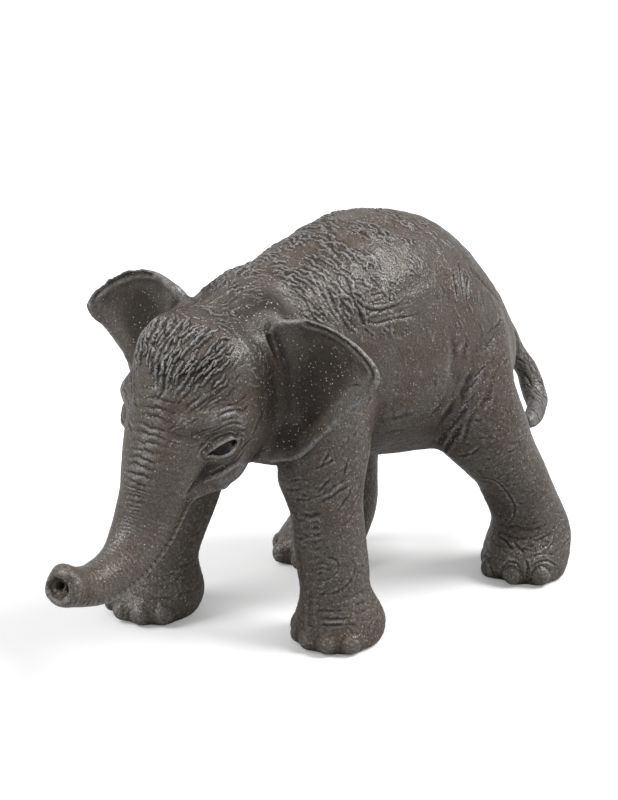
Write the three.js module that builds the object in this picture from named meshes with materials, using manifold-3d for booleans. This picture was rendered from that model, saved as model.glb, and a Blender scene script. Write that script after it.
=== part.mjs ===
// Elephant calf figure: a moulded torso with separately moulded head, ears, eyes, legs and tail.
// Lengths are in millimetres and +Z is up. The calf faces -Y, so its left side is towards +X.
import * as THREE from "three";
import { mergeVertices } from "three/addons/utils/BufferGeometryUtils.js";
import Module from "manifold-3d";

const wasm = await Module();
wasm.setup();
const { degToRad } = THREE.MathUtils;

// Fits between the moulded pieces
const seamGap = 0.3;
const cutOverrun = 2;

// Torso
const torsoLength = 68;
const torsoWidth = 34;
const torsoDepth = 39.5;
const bellyHeight = 20.5;

// Forelegs and hind legs
const foreWidth = 14;
const foreDepth = 14.2;
const hindWidth = 13.8;
const hindDepth = 18.4;
const nailWidth = 2.9;
const nailHeight = 3;
const nailProud = 1.1;

// Keyed pegs that join the head and each leg to the torso
const pegWidth = 5;
const pegDepth = 7;
const pegReach = 9;
const pegRoot = 12;
const pegCorner = 1.5;

// Head
const headHeight = 26.5;
const headWidth = 21.6;
const headDepth = 20.4;
const headTurn = degToRad(10);
const headTilt = degToRad(5);
const neckInset = 7.5;
const jawLength = 10;
const jawWidth = 10;
const jawHeight = 6;

// Eyes and their lids
const eyeWidth = 3.6;
const eyeProud = 0.4;
const lidWidth = 6.4;
const lidHeight = 5.6;
const lidDepth = 5;
const lidProud = 1.1;

// Trunk
const trunkReach = 34;
const trunkDrop = 30;
const trunkWidth = 17;
const trunkDepth = 12;
const nostrilWidth = 1.5;
const nostrilDepth = 3;
const nostrilSpacing = 2.6;

// Ears
const earHeight = 23.3;
const earReach = 17.2;
const earThickness = 1.9;
const earDish = 1.8;
const earCurl = 1.6;
const earArch = 1.7;
const earTongue = 3.2;
const earSpread = degToRad(82);
const earTipLift = 1.4;
const earTipDroop = 1.8;

// Tail
const tailReach = 11;
const tailDrop = 18.5;
const tailThickness = 4.4;

// Steps of the curved surfaces
const formSteps = 2;
const cornerSteps = 3;
const torsoSides = 32;
const legSides = 20;
const headSides = 28;
const trunkSides = 16;
const tailSides = 10;
const boreSides = 8;
const earSteps = 7;
const ballSides = 12;
const ballRows = 8;
const nailSides = 8;
const nailRows = 6;

const across = new THREE.Vector3(1, 0, 0);
const back = new THREE.Vector3(0, 1, 0);
const ahead = back.clone().negate();
const up = new THREE.Vector3(0, 0, 1);

// One oval slice of a form: half its width, and how far it reaches either way along its depth.
const slice = (centre, half, rise, drop) => ({
  centre,
  reach: new THREE.Vector3(half, rise, drop),
});

// A closed skin over a run of rings that hold as many points each.
function skin(rings) {
  const sides = rings[0].length;
  const middle = (ring) =>
    ring.reduce((sum, point) => sum.add(point), new THREE.Vector3()).divideScalar(sides);
  const points = [...rings.flat(), middle(rings[0]), middle(rings.at(-1))];
  const first = points.length - 2;
  const last = points.length - 1;
  const top = (rings.length - 1) * sides;
  const faces = [];
  for (let i = 0; i < sides; i++) {
    const next = (i + 1) % sides;
    for (let low = 0; low < top; low += sides) {
      faces.push([low + i, low + next, low + next + sides]);
      faces.push([low + i, low + next + sides, low + i + sides]);
    }
    faces.push([first, next, i], [last, top + i, top + next]);
  }
  const volume = faces.reduce((sum, [a, b, c]) => {
    const normal = points[b].clone().cross(points[c]);
    return sum + points[a].dot(normal);
  }, 0);
  const outward = volume > 0 ? faces : faces.map(([a, b, c]) => [a, c, b]);
  return new THREE.BufferGeometry().setFromPoints(points).setIndex(outward.flat());
}

const curveThrough = (points) => new THREE.CatmullRomCurve3(points, false, "catmullrom");

// Rings of a form. They lie along form.across and form.deep, or square to the path where it has no deep.
function ringsOf(form, grow = 0) {
  const centres = curveThrough(form.slices.map((one) => one.centre));
  const reaches = curveThrough(form.slices.map((one) => one.reach));
  const count = (form.slices.length - 1) * form.steps;
  return Array.from({ length: count + 1 }, (_, row) => {
    const reach = reaches.getPoint(row / count);
    const tangent = centres.getTangent(row / count);
    const outward = (2 * row) / count - 1;
    const centre = centres.getPoint(row / count).addScaledVector(tangent, outward * grow);
    const deep = form.deep ?? tangent.cross(form.across).normalize();
    return Array.from({ length: form.sides }, (_, side) => {
      const angle = (2 * Math.PI * side) / form.sides;
      const depth = Math.sin(angle) > 0 ? reach.y : reach.z;
      return centre
        .clone()
        .addScaledVector(form.across, (reach.x + grow) * Math.cos(angle))
        .addScaledVector(deep, (depth + grow) * Math.sin(angle));
    });
  });
}

const solidOf = (geometry) => {
  const bare = mergeVertices(geometry.clone().deleteAttribute("normal").deleteAttribute("uv"));
  return new wasm.Manifold(
    new wasm.Mesh({
      numProp: 3,
      vertProperties: bare.attributes.position.array,
      triVerts: new Uint32Array(bare.index.array),
    }),
  );
};
const formSolid = (form, grow) => solidOf(skin(ringsOf(form, grow)));
const joined = (solid, others) => others.reduce((whole, one) => whole.add(one), solid);
const cutBy = (solid, others) => others.reduce((rest, one) => rest.subtract(one), solid);

// A ball squeezed to three widths, turned about the upright and set at a point.
function ball(centre, size, turn, sides, rows, grow = 0) {
  const place = new THREE.Matrix4()
    .makeTranslation(centre)
    .multiply(new THREE.Matrix4().makeRotationZ(turn))
    .scale(size.clone().divideScalar(2).addScalar(grow));
  return solidOf(new THREE.SphereGeometry(1, sides, rows).rotateX(Math.PI / 2).applyMatrix4(place));
}

// Torso: slices from the neck end back to the rump, as shares of length along, top, bottom and half width.
const torsoAheadShare = 0.544;
const torsoShares = [
  [0.0, 0.69, 0.34, 0.15],
  [0.074, 0.805, 0.28, 0.2],
  [0.162, 0.893, 0.2, 0.245],
  [0.265, 0.918, 0.125, 0.33],
  [0.382, 0.978, 0.088, 0.415],
  [0.515, 1.02, 0.05, 0.466],
  [0.632, 1.007, 0.015, 0.478],
  [0.735, 0.957, 0.0, 0.46],
  [0.824, 0.842, 0.015, 0.415],
  [0.897, 0.698, 0.1, 0.35],
  [0.949, 0.572, 0.215, 0.25],
  [0.985, 0.49, 0.31, 0.155],
  [1.0, 0.443, 0.377, 0.06],
];
const widestShare = 0.46; // height of the widest line between belly and back
const torsoY = (share) => torsoLength * (share - torsoAheadShare);
const torsoZ = (share) => bellyHeight + torsoDepth * share;
const torsoForm = {
  slices: torsoShares.map(([along, top, bottom, half]) => {
    const tall = (top - bottom) * torsoDepth;
    return slice(
      new THREE.Vector3(0, torsoY(along), torsoZ(bottom) + tall * widestShare),
      half * torsoWidth,
      tall * (1 - widestShare),
      tall * widestShare,
    );
  }),
  across,
  deep: up,
  sides: torsoSides,
  steps: formSteps,
};
const torsoBody = formSolid(torsoForm);
const torsoRoom = formSolid(torsoForm, seamGap);

// Legs: slices up from the sole as shares of height, half width, front reach, back reach and a shift ahead.
const foreShares = [
  [0.0, 0.445, 0.45, 0.43, 0.0],
  [0.03, 0.49, 0.5, 0.465, 0.0],
  [0.085, 0.5, 0.5, 0.475, 0.0],
  [0.15, 0.44, 0.435, 0.41, 0.02],
  [0.22, 0.39, 0.395, 0.335, 0.04],
  [0.34, 0.395, 0.415, 0.315, 0.06],
  [0.42, 0.405, 0.44, 0.32, 0.06],
  [0.52, 0.42, 0.46, 0.325, 0.05],
  [0.64, 0.43, 0.48, 0.38, 0.03],
  [0.76, 0.43, 0.5, 0.42, 0.01],
  [0.87, 0.41, 0.49, 0.45, 0.0],
  [0.95, 0.33, 0.41, 0.41, 0.0],
  [1.0, 0.17, 0.23, 0.23, 0.0],
];
const hindShares = [
  [0.0, 0.43, 0.335, 0.305, 0.0],
  [0.03, 0.485, 0.38, 0.335, 0.0],
  [0.085, 0.5, 0.395, 0.365, 0.0],
  [0.15, 0.465, 0.335, 0.36, -0.085],
  [0.215, 0.415, 0.295, 0.34, -0.13],
  [0.31, 0.4, 0.305, 0.31, -0.1],
  [0.43, 0.43, 0.37, 0.3, -0.03],
  [0.55, 0.455, 0.45, 0.28, 0.02],
  [0.69, 0.445, 0.49, 0.26, 0.07],
  [0.82, 0.415, 0.48, 0.25, 0.09],
  [0.93, 0.35, 0.42, 0.28, 0.06],
  [1.0, 0.18, 0.22, 0.2, 0.0],
];

// Where each leg stands and where it meets the body, as shares of half the torso's width and of its length.
const legs = [
  { name: "left_foreleg", fore: true, soleShare: [0.79, 0.3], topShare: [0.6, 0.315], nails: 5 },
  { name: "right_foreleg", fore: true, soleShare: [-0.87, 0.118], topShare: [-0.66, 0.307], nails: 5 },
  { name: "left_hindleg", fore: false, soleShare: [0.93, 0.895], topShare: [0.66, 0.77], nails: 4 },
  { name: "right_hindleg", fore: false, soleShare: [-0.72, 0.61], topShare: [-0.66, 0.75], nails: 4 },
];
const foreTopShare = 0.519; // of the torso's depth, above the belly
const hindTopShare = 0.544;
const bodyPoint = ([side, along], height) =>
  new THREE.Vector3((side * torsoWidth) / 2, torsoY(along), height);

function legForm(leg) {
  const width = leg.fore ? foreWidth : hindWidth;
  const depth = leg.fore ? foreDepth : hindDepth;
  const sole = bodyPoint(leg.soleShare, 0);
  const top = bodyPoint(leg.topShare, torsoZ(leg.fore ? foreTopShare : hindTopShare));
  return {
    sole,
    top,
    slices: (leg.fore ? foreShares : hindShares).map(([level, half, front, back, shift]) =>
      slice(
        sole.clone().lerp(top, level).addScaledVector(ahead, shift * depth),
        half * width,
        front * depth,
        back * depth,
      ),
    ),
    across,
    deep: ahead,
    sides: legSides,
    steps: formSteps,
  };
}

// Toenails stand in an arc round the front of the foot.
const nailArc = degToRad(120);
const nailLevelShare = 0.55; // of a nail's height, above the ground
const nailSize = new THREE.Vector3(nailWidth, nailProud * 2, nailHeight);
function nailsOf(form, count) {
  const foot = form.slices[1].reach;
  return Array.from({ length: count }, (_, i) => {
    const turn = nailArc * (i / (count - 1) - 1 / 2);
    const spot = form.sole
      .clone()
      .addScaledVector(across, Math.sin(turn) * foot.x)
      .addScaledVector(ahead, Math.cos(turn) * foot.y)
      .addScaledVector(up, nailHeight * nailLevelShare);
    return ball(spot, nailSize, turn, nailSides, nailRows);
  });
}

// The peg runs along the piece's own axis and ends at its top.
function pegSolid({ sole, top }, grow) {
  const axis = top.clone().sub(sole).normalize();
  const foot = top.clone().addScaledVector(axis, -pegReach - pegRoot - grow);
  const corner = pegCorner + grow;
  const side = pegWidth / 2 + grow - corner;
  const face = pegDepth / 2 + grow - corner;
  const outline = new THREE.Shape()
    .absarc(side, face, corner, 0, Math.PI / 2)
    .absarc(-side, face, corner, Math.PI / 2, Math.PI)
    .absarc(-side, -face, corner, Math.PI, 1.5 * Math.PI)
    .absarc(side, -face, corner, 1.5 * Math.PI, 2 * Math.PI);
  const geometry = new THREE.ExtrudeGeometry(outline, {
    depth: pegRoot + pegReach + 2 * grow,
    bevelEnabled: false,
    curveSegments: cornerSteps,
  });
  geometry.applyQuaternion(new THREE.Quaternion().setFromUnitVectors(up, axis));
  return solidOf(geometry.translate(foot.x, foot.y, foot.z));
}

const legParts = legs.map((leg) => {
  const form = legForm(leg);
  const shape = joined(formSolid(form), nailsOf(form, leg.nails)).subtract(torsoRoom);
  return {
    name: leg.name,
    solid: shape.add(pegSolid(form, 0)),
    socket: pegSolid(form, seamGap),
    room: formSolid(form, seamGap),
  };
});

// Head, in its own frame: its origin is the neck point, and it faces -Y before it is turned and tilted.
const neckShare = 0.494; // height of the neck point up the torso's depth
const neckPoint = new THREE.Vector3(0, torsoY(0) + neckInset, torsoZ(neckShare));
const neckSeat = { sole: new THREE.Vector3(0, 0, neckPoint.z), top: neckPoint };
const headPlace = new THREE.Matrix4().compose(
  neckPoint,
  new THREE.Quaternion().setFromEuler(new THREE.Euler(0, headTilt, headTurn, "ZYX")),
  new THREE.Vector3(1, 1, 1),
);
// A point of the head by shares of its width to the left, of its depth ahead and of its height up.
const headPoint = ([left, front, high]) =>
  new THREE.Vector3(left * headWidth, -front * headDepth, high * headHeight);

// Slices from jaw to crown, as shares of height, half width, front reach and back reach.
const skullAheadShare = 0.14;
const headShares = [
  [-0.46, 0.08, 0.08, 0.08],
  [-0.42, 0.2, 0.27, 0.27],
  [-0.34, 0.34, 0.42, 0.41],
  [-0.21, 0.445, 0.52, 0.48],
  [-0.06, 0.49, 0.56, 0.52],
  [0.095, 0.49, 0.55, 0.54],
  [0.235, 0.445, 0.5, 0.52],
  [0.35, 0.355, 0.405, 0.44],
  [0.425, 0.21, 0.255, 0.285],
  [0.458, 0.065, 0.085, 0.1],
];
const headForm = {
  slices: headShares.map(([level, half, front, back]) =>
    slice(headPoint([0, skullAheadShare, level]), half * headWidth, front * headDepth, back * headDepth),
  ),
  across,
  deep: ahead,
  sides: headSides,
  steps: formSteps,
};

// Trunk: shares of its reach ahead and its drop, of its width and depth, and of its width to the right.
const trunkShares = [
  [0.0, -0.2, 0.3, 0.28, 0.3, 0.0],
  [0.1, -0.13, 0.38, 0.34, 0.4, 0.0],
  [0.2, -0.04, 0.43, 0.4, 0.47, 0.0],
  [0.295, 0.08, 0.44, 0.435, 0.46, 0.0],
  [0.37, 0.25, 0.375, 0.41, 0.41, 0.0],
  [0.415, 0.42, 0.3, 0.36, 0.36, 0.0],
  [0.475, 0.575, 0.245, 0.32, 0.31, 0.0],
  [0.59, 0.7, 0.21, 0.285, 0.27, 0.01],
  [0.77, 0.775, 0.178, 0.245, 0.235, 0.04],
  [0.965, 0.725, 0.178, 0.24, 0.235, 0.11],
];
const trunkForm = {
  slices: trunkShares.map(([reach, drop, half, front, back, sway]) =>
    slice(
      new THREE.Vector3(-sway * trunkWidth, -reach * trunkReach, -drop * trunkDrop),
      half * trunkWidth,
      front * trunkDepth,
      back * trunkDepth,
    ),
  ),
  across,
  sides: trunkSides,
  steps: formSteps,
};

// Two nostrils side by side, bored into the tip along the trunk's own direction.
const nostrils = [-1, 1].map((side) => {
  const path = curveThrough(trunkForm.slices.map((one) => one.centre));
  const inward = path.getTangent(1).negate();
  const bore = new THREE.CylinderGeometry(
    nostrilWidth / 2,
    nostrilWidth / 2,
    nostrilDepth + cutOverrun,
    boreSides,
  );
  const spot = path
    .getPoint(1)
    .addScaledVector(inward, (nostrilDepth - cutOverrun) / 2)
    .addScaledVector(across, (side * nostrilSpacing) / 2);
  bore.applyQuaternion(new THREE.Quaternion().setFromUnitVectors(back, inward));
  return solidOf(bore.translate(spot.x, spot.y, spot.z));
});

// Lower jaw, tucked in behind the root of the trunk.
const jawShare = [0, 0.46, -0.4];
const jaw = ball(
  headPoint(jawShare),
  new THREE.Vector3(jawWidth, jawLength, jawHeight),
  0,
  ballSides,
  ballRows,
);

// Eyes: each bead sits in a socket in the swell of its lids.
const eyeShare = [0.4, 0.46, -0.143];
const eyeFacing = degToRad(54); // away from straight ahead
const eyes = [
  ["left_eye", 1],
  ["right_eye", -1],
].map(([name, side]) => {
  const [left, front, high] = eyeShare;
  const surface = headPoint([side * left, front, high]);
  const outward = new THREE.Vector3(side * Math.sin(eyeFacing), -Math.cos(eyeFacing), 0);
  const centre = surface.clone().addScaledVector(outward, lidProud + eyeProud - eyeWidth / 2);
  const bead = new THREE.Vector3(1, 1, 1).multiplyScalar(eyeWidth);
  const swell = new THREE.Vector3(lidWidth, lidDepth, lidHeight);
  const swellCentre = surface.clone().addScaledVector(outward, lidProud - lidDepth / 2);
  const turn = side * eyeFacing;
  return {
    name,
    solid: ball(centre, bead, turn, ballSides, ballRows),
    room: ball(centre, bead, turn, ballSides, ballRows, seamGap),
    lids: ball(swellCentre, swell, turn, ballSides, ballRows),
  };
});

// Ear rows up its root, as shares of its height, of its reach, of the rim's curl ahead and of its tongue.
const earShares = [
  [0.0, 0.17, 0.0, 0.0],
  [0.03, 0.26, 0.0, 0.3],
  [0.09, 0.35, 0.0, 0.8],
  [0.23, 0.52, 0.0, 1.0],
  [0.38, 0.69, 0.0, 1.0],
  [0.5, 0.82, 0.0, 1.0],
  [0.6, 0.92, 0.0, 1.0],
  [0.69, 0.985, 0.0, 1.0],
  [0.75, 1.0, 0.05, 1.0],
  [0.82, 0.93, 0.15, 1.0],
  [0.88, 0.78, 0.3, 1.0],
  [0.94, 0.57, 0.6, 0.8],
  [1.0, 0.31, 1.0, 0.3],
];
const earRootShare = [0.44, -0.12, -0.367];
const earTaperShare = 0.35; // how much thinner the rim is than the root
const earRimShare = 0.4; // roundness of the rim, of the ear's thickness
function earRings(side, lift, grow) {
  const [left, front, low] = earRootShare;
  const root = headPoint([side * left, front, low]);
  const outward = new THREE.Vector3(side * Math.sin(earSpread), Math.cos(earSpread), 0);
  const facing = new THREE.Vector3(side * Math.cos(earSpread), -Math.sin(earSpread), 0);
  return earShares.map(([level, reach, curl, tongue], row) => {
    const width = reach * earReach;
    const inset = tongue * earTongue + grow;
    const end = Number(row === earShares.length - 1) - Number(row === 0);
    const spot = (share, offset) => {
      const along = share * (width + inset) - inset;
      const outShare = Math.max(along, 0) / earReach;
      const hollow = Math.sin(Math.PI * Math.min(1, outShare / reach)) * reach;
      return root
        .clone()
        .addScaledVector(outward, along)
        .addScaledVector(up, level * earHeight + end * grow)
        .addScaledVector(up, earArch * Math.sin(Math.PI * outShare))
        .addScaledVector(up, lift * outShare ** 2)
        .addScaledVector(facing, earCurl * (outShare ** 2 + curl) - earDish * hollow + offset);
    };
    const half = (share) => (earThickness / 2) * (1 - earTaperShare * share) + grow;
    const shares = Array.from({ length: earSteps + 1 }, (_, i) => i / earSteps);
    const rim = 1 + (earRimShare * earThickness + grow) / (width + inset);
    return [
      ...shares.map((share) => spot(share, half(share))),
      spot(rim, 0),
      ...shares.reverse().map((share) => spot(share, -half(share))),
    ];
  });
}
const ears = [
  ["left_ear", 1, earTipLift],
  ["right_ear", -1, -earTipDroop],
].map(([name, side, lift]) => ({
  name,
  solid: solidOf(skin(earRings(side, lift, 0))),
  room: solidOf(skin(earRings(side, lift, seamGap))),
}));

// Tail: shares of its reach to the left and back, of its drop, and of its thickness.
const tailShares = [
  [0.0, -0.3, 0.0, 0.46],
  [0.0, 0.02, 0.05, 0.52],
  [0.01, 0.3, 0.18, 0.5],
  [0.06, 0.6, 0.43, 0.46],
  [0.16, 0.84, 0.69, 0.45],
  [0.4, 0.82, 0.9, 0.47],
  [0.68, 0.48, 0.97, 0.44],
  [0.88, 0.12, 0.96, 0.34],
  [0.98, -0.06, 0.94, 0.14],
];
const tailRootShare = [0.965, 0.495]; // along the torso and up its depth
const [tailAlong, tailHigh] = tailRootShare;
const tailForm = {
  slices: tailShares.map(([side, back, drop, half]) =>
    slice(
      new THREE.Vector3(
        side * tailReach,
        torsoY(tailAlong) + back * tailReach,
        torsoZ(tailHigh) - drop * tailDrop,
      ),
      half * tailThickness,
      half * tailThickness,
      half * tailThickness,
    ),
  ),
  across,
  sides: tailSides,
  steps: formSteps,
};

const skinPlastic = () => new THREE.MeshStandardMaterial({ color: 0x4f4a46, roughness: 0.6, metalness: 0 });
const eyePlastic = () => new THREE.MeshStandardMaterial({ color: 0x16110e, roughness: 0.2, metalness: 0 });

function meshOf(name, solid, material) {
  const { vertProperties, triVerts } = solid.getMesh();
  const geometry = new THREE.BufferGeometry()
    .setAttribute("position", new THREE.BufferAttribute(vertProperties, 3))
    .setIndex(new THREE.BufferAttribute(triVerts, 1));
  geometry.computeVertexNormals();
  const mesh = new THREE.Mesh(geometry, material);
  mesh.name = name;
  return mesh;
}

const figure = new THREE.Group();
const tailSolid = cutBy(formSolid(tailForm), legParts.map((leg) => leg.room));
const torsoCuts = [
  formSolid(headForm, seamGap).transform(headPlace.elements),
  formSolid(tailForm, seamGap),
  ...legParts.map((leg) => leg.socket),
];
const torsoSolid = cutBy(torsoBody, torsoCuts).add(pegSolid(neckSeat, 0));
figure.add(meshOf("torso", torsoSolid, skinPlastic()));
legParts.forEach((leg) => figure.add(meshOf(leg.name, leg.solid, skinPlastic())));
figure.add(meshOf("tail", tailSolid, skinPlastic()));

// The head's pieces share the head's own frame, so what they clear on the body is brought into it.
// The ears clear the shoulders, and run on whole inside the skull.
const head = new THREE.Group();
head.applyMatrix4(headPlace);
figure.add(head);
const intoHead = headPlace.clone().invert().elements;
const skull = formSolid(headForm);
const neckSocket = pegSolid(neckSeat, seamGap).transform(intoHead);
const headSolid = joined(skull, [formSolid(trunkForm), jaw, ...eyes.map((eye) => eye.lids)]);
const headCuts = [neckSocket, ...nostrils, ...eyes.map((eye) => eye.room), ...ears.map((ear) => ear.room)];
head.add(meshOf("head_and_trunk", cutBy(headSolid, headCuts), skinPlastic()));
const shoulders = torsoRoom.transform(intoHead).subtract(skull);
const earCuts = [shoulders, ...legParts.map((leg) => leg.room.transform(intoHead))];
ears.forEach((ear) => head.add(meshOf(ear.name, cutBy(ear.solid, earCuts), skinPlastic())));
eyes.forEach((eye) => head.add(meshOf(eye.name, eye.solid, eyePlastic())));

// The origin is on the ground, under the middle of the whole figure.
const extent = new THREE.Box3().setFromObject(figure, true);
const middle = extent.getCenter(new THREE.Vector3());
figure.position.set(-middle.x, -middle.y, -extent.min.z);

export default figure;
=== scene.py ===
import math

import bpy
import numpy as np
from bpy.props import FloatProperty, FloatVectorProperty, IntProperty, PointerProperty
from mathutils import Matrix, Vector
from mathutils.bvhtree import BVHTree


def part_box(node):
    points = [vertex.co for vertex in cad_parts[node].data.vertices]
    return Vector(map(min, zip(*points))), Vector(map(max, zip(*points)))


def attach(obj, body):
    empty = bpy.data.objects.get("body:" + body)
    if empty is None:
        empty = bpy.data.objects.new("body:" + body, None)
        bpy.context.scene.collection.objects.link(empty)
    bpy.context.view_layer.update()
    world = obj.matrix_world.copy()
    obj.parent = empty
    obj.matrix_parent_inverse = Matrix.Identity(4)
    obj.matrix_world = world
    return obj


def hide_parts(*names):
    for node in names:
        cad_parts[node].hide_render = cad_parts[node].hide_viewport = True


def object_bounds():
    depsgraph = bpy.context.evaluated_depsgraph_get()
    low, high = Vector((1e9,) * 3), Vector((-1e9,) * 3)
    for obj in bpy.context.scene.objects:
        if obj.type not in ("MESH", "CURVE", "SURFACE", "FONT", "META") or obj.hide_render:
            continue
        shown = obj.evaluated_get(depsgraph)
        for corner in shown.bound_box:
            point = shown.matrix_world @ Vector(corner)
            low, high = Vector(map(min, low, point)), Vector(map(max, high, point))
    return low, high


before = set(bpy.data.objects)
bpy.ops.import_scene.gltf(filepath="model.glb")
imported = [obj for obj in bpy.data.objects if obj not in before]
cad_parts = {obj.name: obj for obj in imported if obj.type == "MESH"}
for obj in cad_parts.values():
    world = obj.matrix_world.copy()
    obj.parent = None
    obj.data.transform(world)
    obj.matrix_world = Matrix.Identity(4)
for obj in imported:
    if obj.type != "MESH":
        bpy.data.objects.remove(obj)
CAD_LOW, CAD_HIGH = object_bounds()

bpy.utils.expose_bundled_modules()
import openvdb as vdb

bl_info = {
    "name": "Elephant Calf Figure",
    "version": (1, 0, 0),
    "blender": (4, 5, 0),
    "location": "View3D > Sidebar > Calf",
    "description": "Carves the hide of a moulded elephant calf figure over its packed solids",
    "category": "Object",
}

# Settings are in metres. The sculpting works in millimetres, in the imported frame.
MM = 0.001


# Settings
def length(name, description, default):
    return FloatProperty(name=name, description=description, default=default, unit="LENGTH", precision=5)


def factor(name, description, default):
    return FloatProperty(name=name, description=description, default=default, subtype="FACTOR")


def colour(name, description, default):
    return FloatVectorProperty(
        name=name, description=description, default=default, subtype="COLOR", size=3, min=0, max=1)


class CalfForm(bpy.types.PropertyGroup):
    detail: length("Detail", "Distance between the hide's points before it is refined", 0.00043)
    softness: length("Softness", "How far the masses are rounded into each other", 0.00062)
    leg_fillet: length("Leg fillet", "Fillet between the legs and the body", 0.0032)
    neck_fillet: length("Neck fillet", "Fillet between the head and the body", 0.0030)
    tail_fillet: length("Tail fillet", "Fillet at the root of the tail", 0.0016)
    ear_fillet: length("Ear fillet", "Fillet at the roots of the ears", 0.0034)
    ear_gap: length("Ear gap", "Room kept between the ears and the body", 0.00045)


class CalfRelief(bpy.types.PropertyGroup):
    lock_spacing: length("Lock spacing", "Distance between the hair locks on the crown", 0.00092)
    lock_length: length("Lock length", "Length of a hair lock on the crown", 0.0025)
    lock_width: length("Lock width", "Half the width of a hair lock", 0.00033)
    lock_height: length("Lock height", "How high a hair lock stands", 0.00042)
    lock_wave: factor("Lock wave", "How far a hair lock sways, as a share of its length", 0.48)
    stroke_spacing: length("Stroke spacing", "Distance between the strokes on the back", 0.00074)
    stroke_length: length("Stroke length", "Length of a stroke on the back", 0.0019)
    stroke_width: length("Stroke width", "Half the width of a stroke", 0.00026)
    stroke_height: length("Stroke height", "How high a stroke stands", 0.00019)
    stroke_wave: factor("Stroke wave", "How far a stroke sways, as a share of its length", 1.15)
    crease_spacing: length("Crease spacing", "Distance between the fine creases", 0.0014)
    crease_length: length("Crease length", "Length of a fine crease", 0.0042)
    crease_width: length("Crease width", "Half the width of a fine crease", 0.00027)
    crease_depth: length("Crease depth", "How deep a fine crease is cut", 0.00012)
    crease_wave: factor("Crease wave", "How far a fine crease sways, as a share of its length", 0.4)
    fold_depth: length("Fold depth", "Depth of the folds round the trunk", 0.0002)
    seed: IntProperty(name="Seed", description="Seed of the scattered strokes", default=4)


class CalfEyes(bpy.types.PropertyGroup):
    opening: length("Opening", "Length of the opening between the lids", 0.0047)
    upper_lid: length("Upper lid", "How high the opening's upper edge arches", 0.00095)
    lower_lid: length("Lower lid", "How low the opening's lower edge hangs", 0.00072)
    bead: length("Bead", "Radius of the eye bead", 0.00162)
    tilt: FloatProperty(
        name="Tilt", description="How much higher the rear corner is", default=math.radians(21),
        subtype="ANGLE")


class CalfFinish(bpy.types.PropertyGroup):
    hide: colour("Hide", "Plain colour of the plastic", (0.122, 0.106, 0.091))
    # Crease: painted shade and dark wash in the creases, and the dark sand grain
    crease: colour("Crease", "Colour of the dark wash in creases", (0.020, 0.015, 0.012))
    # Ridge: pale painted highlight and rub on the ridges, painted sheen on the ears, and the pale sand grain
    ridge: colour("Ridge", "Colour rubbed over the ridges", (0.30, 0.302, 0.302))
    # Brown of the random mottle, and, darkened, of the painted shade in hollows
    brown_and_shade: colour("Earth", "Browner colour in the hollows", (0.104, 0.080, 0.060))
    # Specks: dust and painted glints
    dust_and_glint: colour("Speck", "Colour of the fine pale specks", (0.58, 0.51, 0.45))
    nail: colour("Nail", "Colour rubbed over the nails", (0.20, 0.19, 0.175))
    eye: colour("Eye", "Colour of the eye beads", (0.016, 0.012, 0.010))


class CalfStage(bpy.types.PropertyGroup):
    floor_size: length("Floor size", "Width of the floor", 6.0)
    floor: colour("Floor", "Colour of the floor", (0.93, 0.93, 0.93))
    camera_distance: length("Camera distance", "From the camera to the figure", 0.56)


GROUPS = {
    "calf_form": CalfForm, "calf_relief": CalfRelief, "calf_eyes": CalfEyes,
    "calf_finish": CalfFinish, "calf_stage": CalfStage,
}

# The figure's own measures
LEGS = ("left_foreleg", "right_foreleg", "left_hindleg", "right_hindleg")
EARS = ("left_ear", "right_ear")
HIDE_NODES = ("torso", *LEGS, "tail", "head_and_trunk", *EARS)
TORSO_LENGTH, TORSO_WIDTH, TORSO_DEPTH, BELLY_HEIGHT = 68.0, 34.0, 39.5, 20.5
TORSO_AHEAD_SHARE, WIDEST_SHARE = 0.544, 0.46
TORSO_SHARES = (  # along, top, bottom, half width
    (0.0, 0.69, 0.34, 0.15), (0.074, 0.805, 0.28, 0.2), (0.162, 0.893, 0.2, 0.245),
    (0.265, 0.918, 0.125, 0.33), (0.382, 0.978, 0.088, 0.415), (0.515, 1.02, 0.05, 0.466),
    (0.632, 1.007, 0.015, 0.478), (0.735, 0.957, 0.0, 0.46), (0.824, 0.842, 0.015, 0.415),
    (0.897, 0.698, 0.1, 0.35), (0.949, 0.572, 0.215, 0.25), (0.985, 0.49, 0.31, 0.155),
    (1.0, 0.443, 0.377, 0.06),
)
HEAD_TURN, HEAD_TILT = math.radians(10), math.radians(5)
NECK_INSET, NECK_SHARE = 7.5, 0.494
TRUNK_REACH, TRUNK_DROP, TRUNK_WIDTH, TRUNK_DEPTH = 34.0, 30.0, 17.0, 12.0
TRUNK_SHARES = (  # reach ahead, drop, half width, front, back, sway to the right
    (0.0, -0.2, 0.3, 0.28, 0.3, 0.0), (0.1, -0.13, 0.38, 0.34, 0.4, 0.0),
    (0.2, -0.04, 0.43, 0.4, 0.47, 0.0), (0.295, 0.08, 0.44, 0.435, 0.46, 0.0),
    (0.37, 0.25, 0.375, 0.41, 0.41, 0.0), (0.415, 0.42, 0.3, 0.36, 0.36, 0.0),
    (0.475, 0.575, 0.245, 0.32, 0.31, 0.0), (0.59, 0.7, 0.21, 0.285, 0.27, 0.01),
    (0.77, 0.775, 0.178, 0.245, 0.235, 0.04), (0.965, 0.725, 0.178, 0.24, 0.235, 0.11),
)
EYE_SPOT, EYE_FACING = (8.64, -9.38, -3.79), math.radians(54)
SOLES = {  # half the torso's width to the left, share of its length back, half width and depth of the foot
    "left_foreleg": (0.79, 0.3, 7.0, 7.1), "right_foreleg": (-0.87, 0.118, 7.0, 7.1),
    "left_hindleg": (0.93, 0.895, 6.9, 7.2), "right_hindleg": (-0.72, 0.61, 6.9, 7.2),
}
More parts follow.
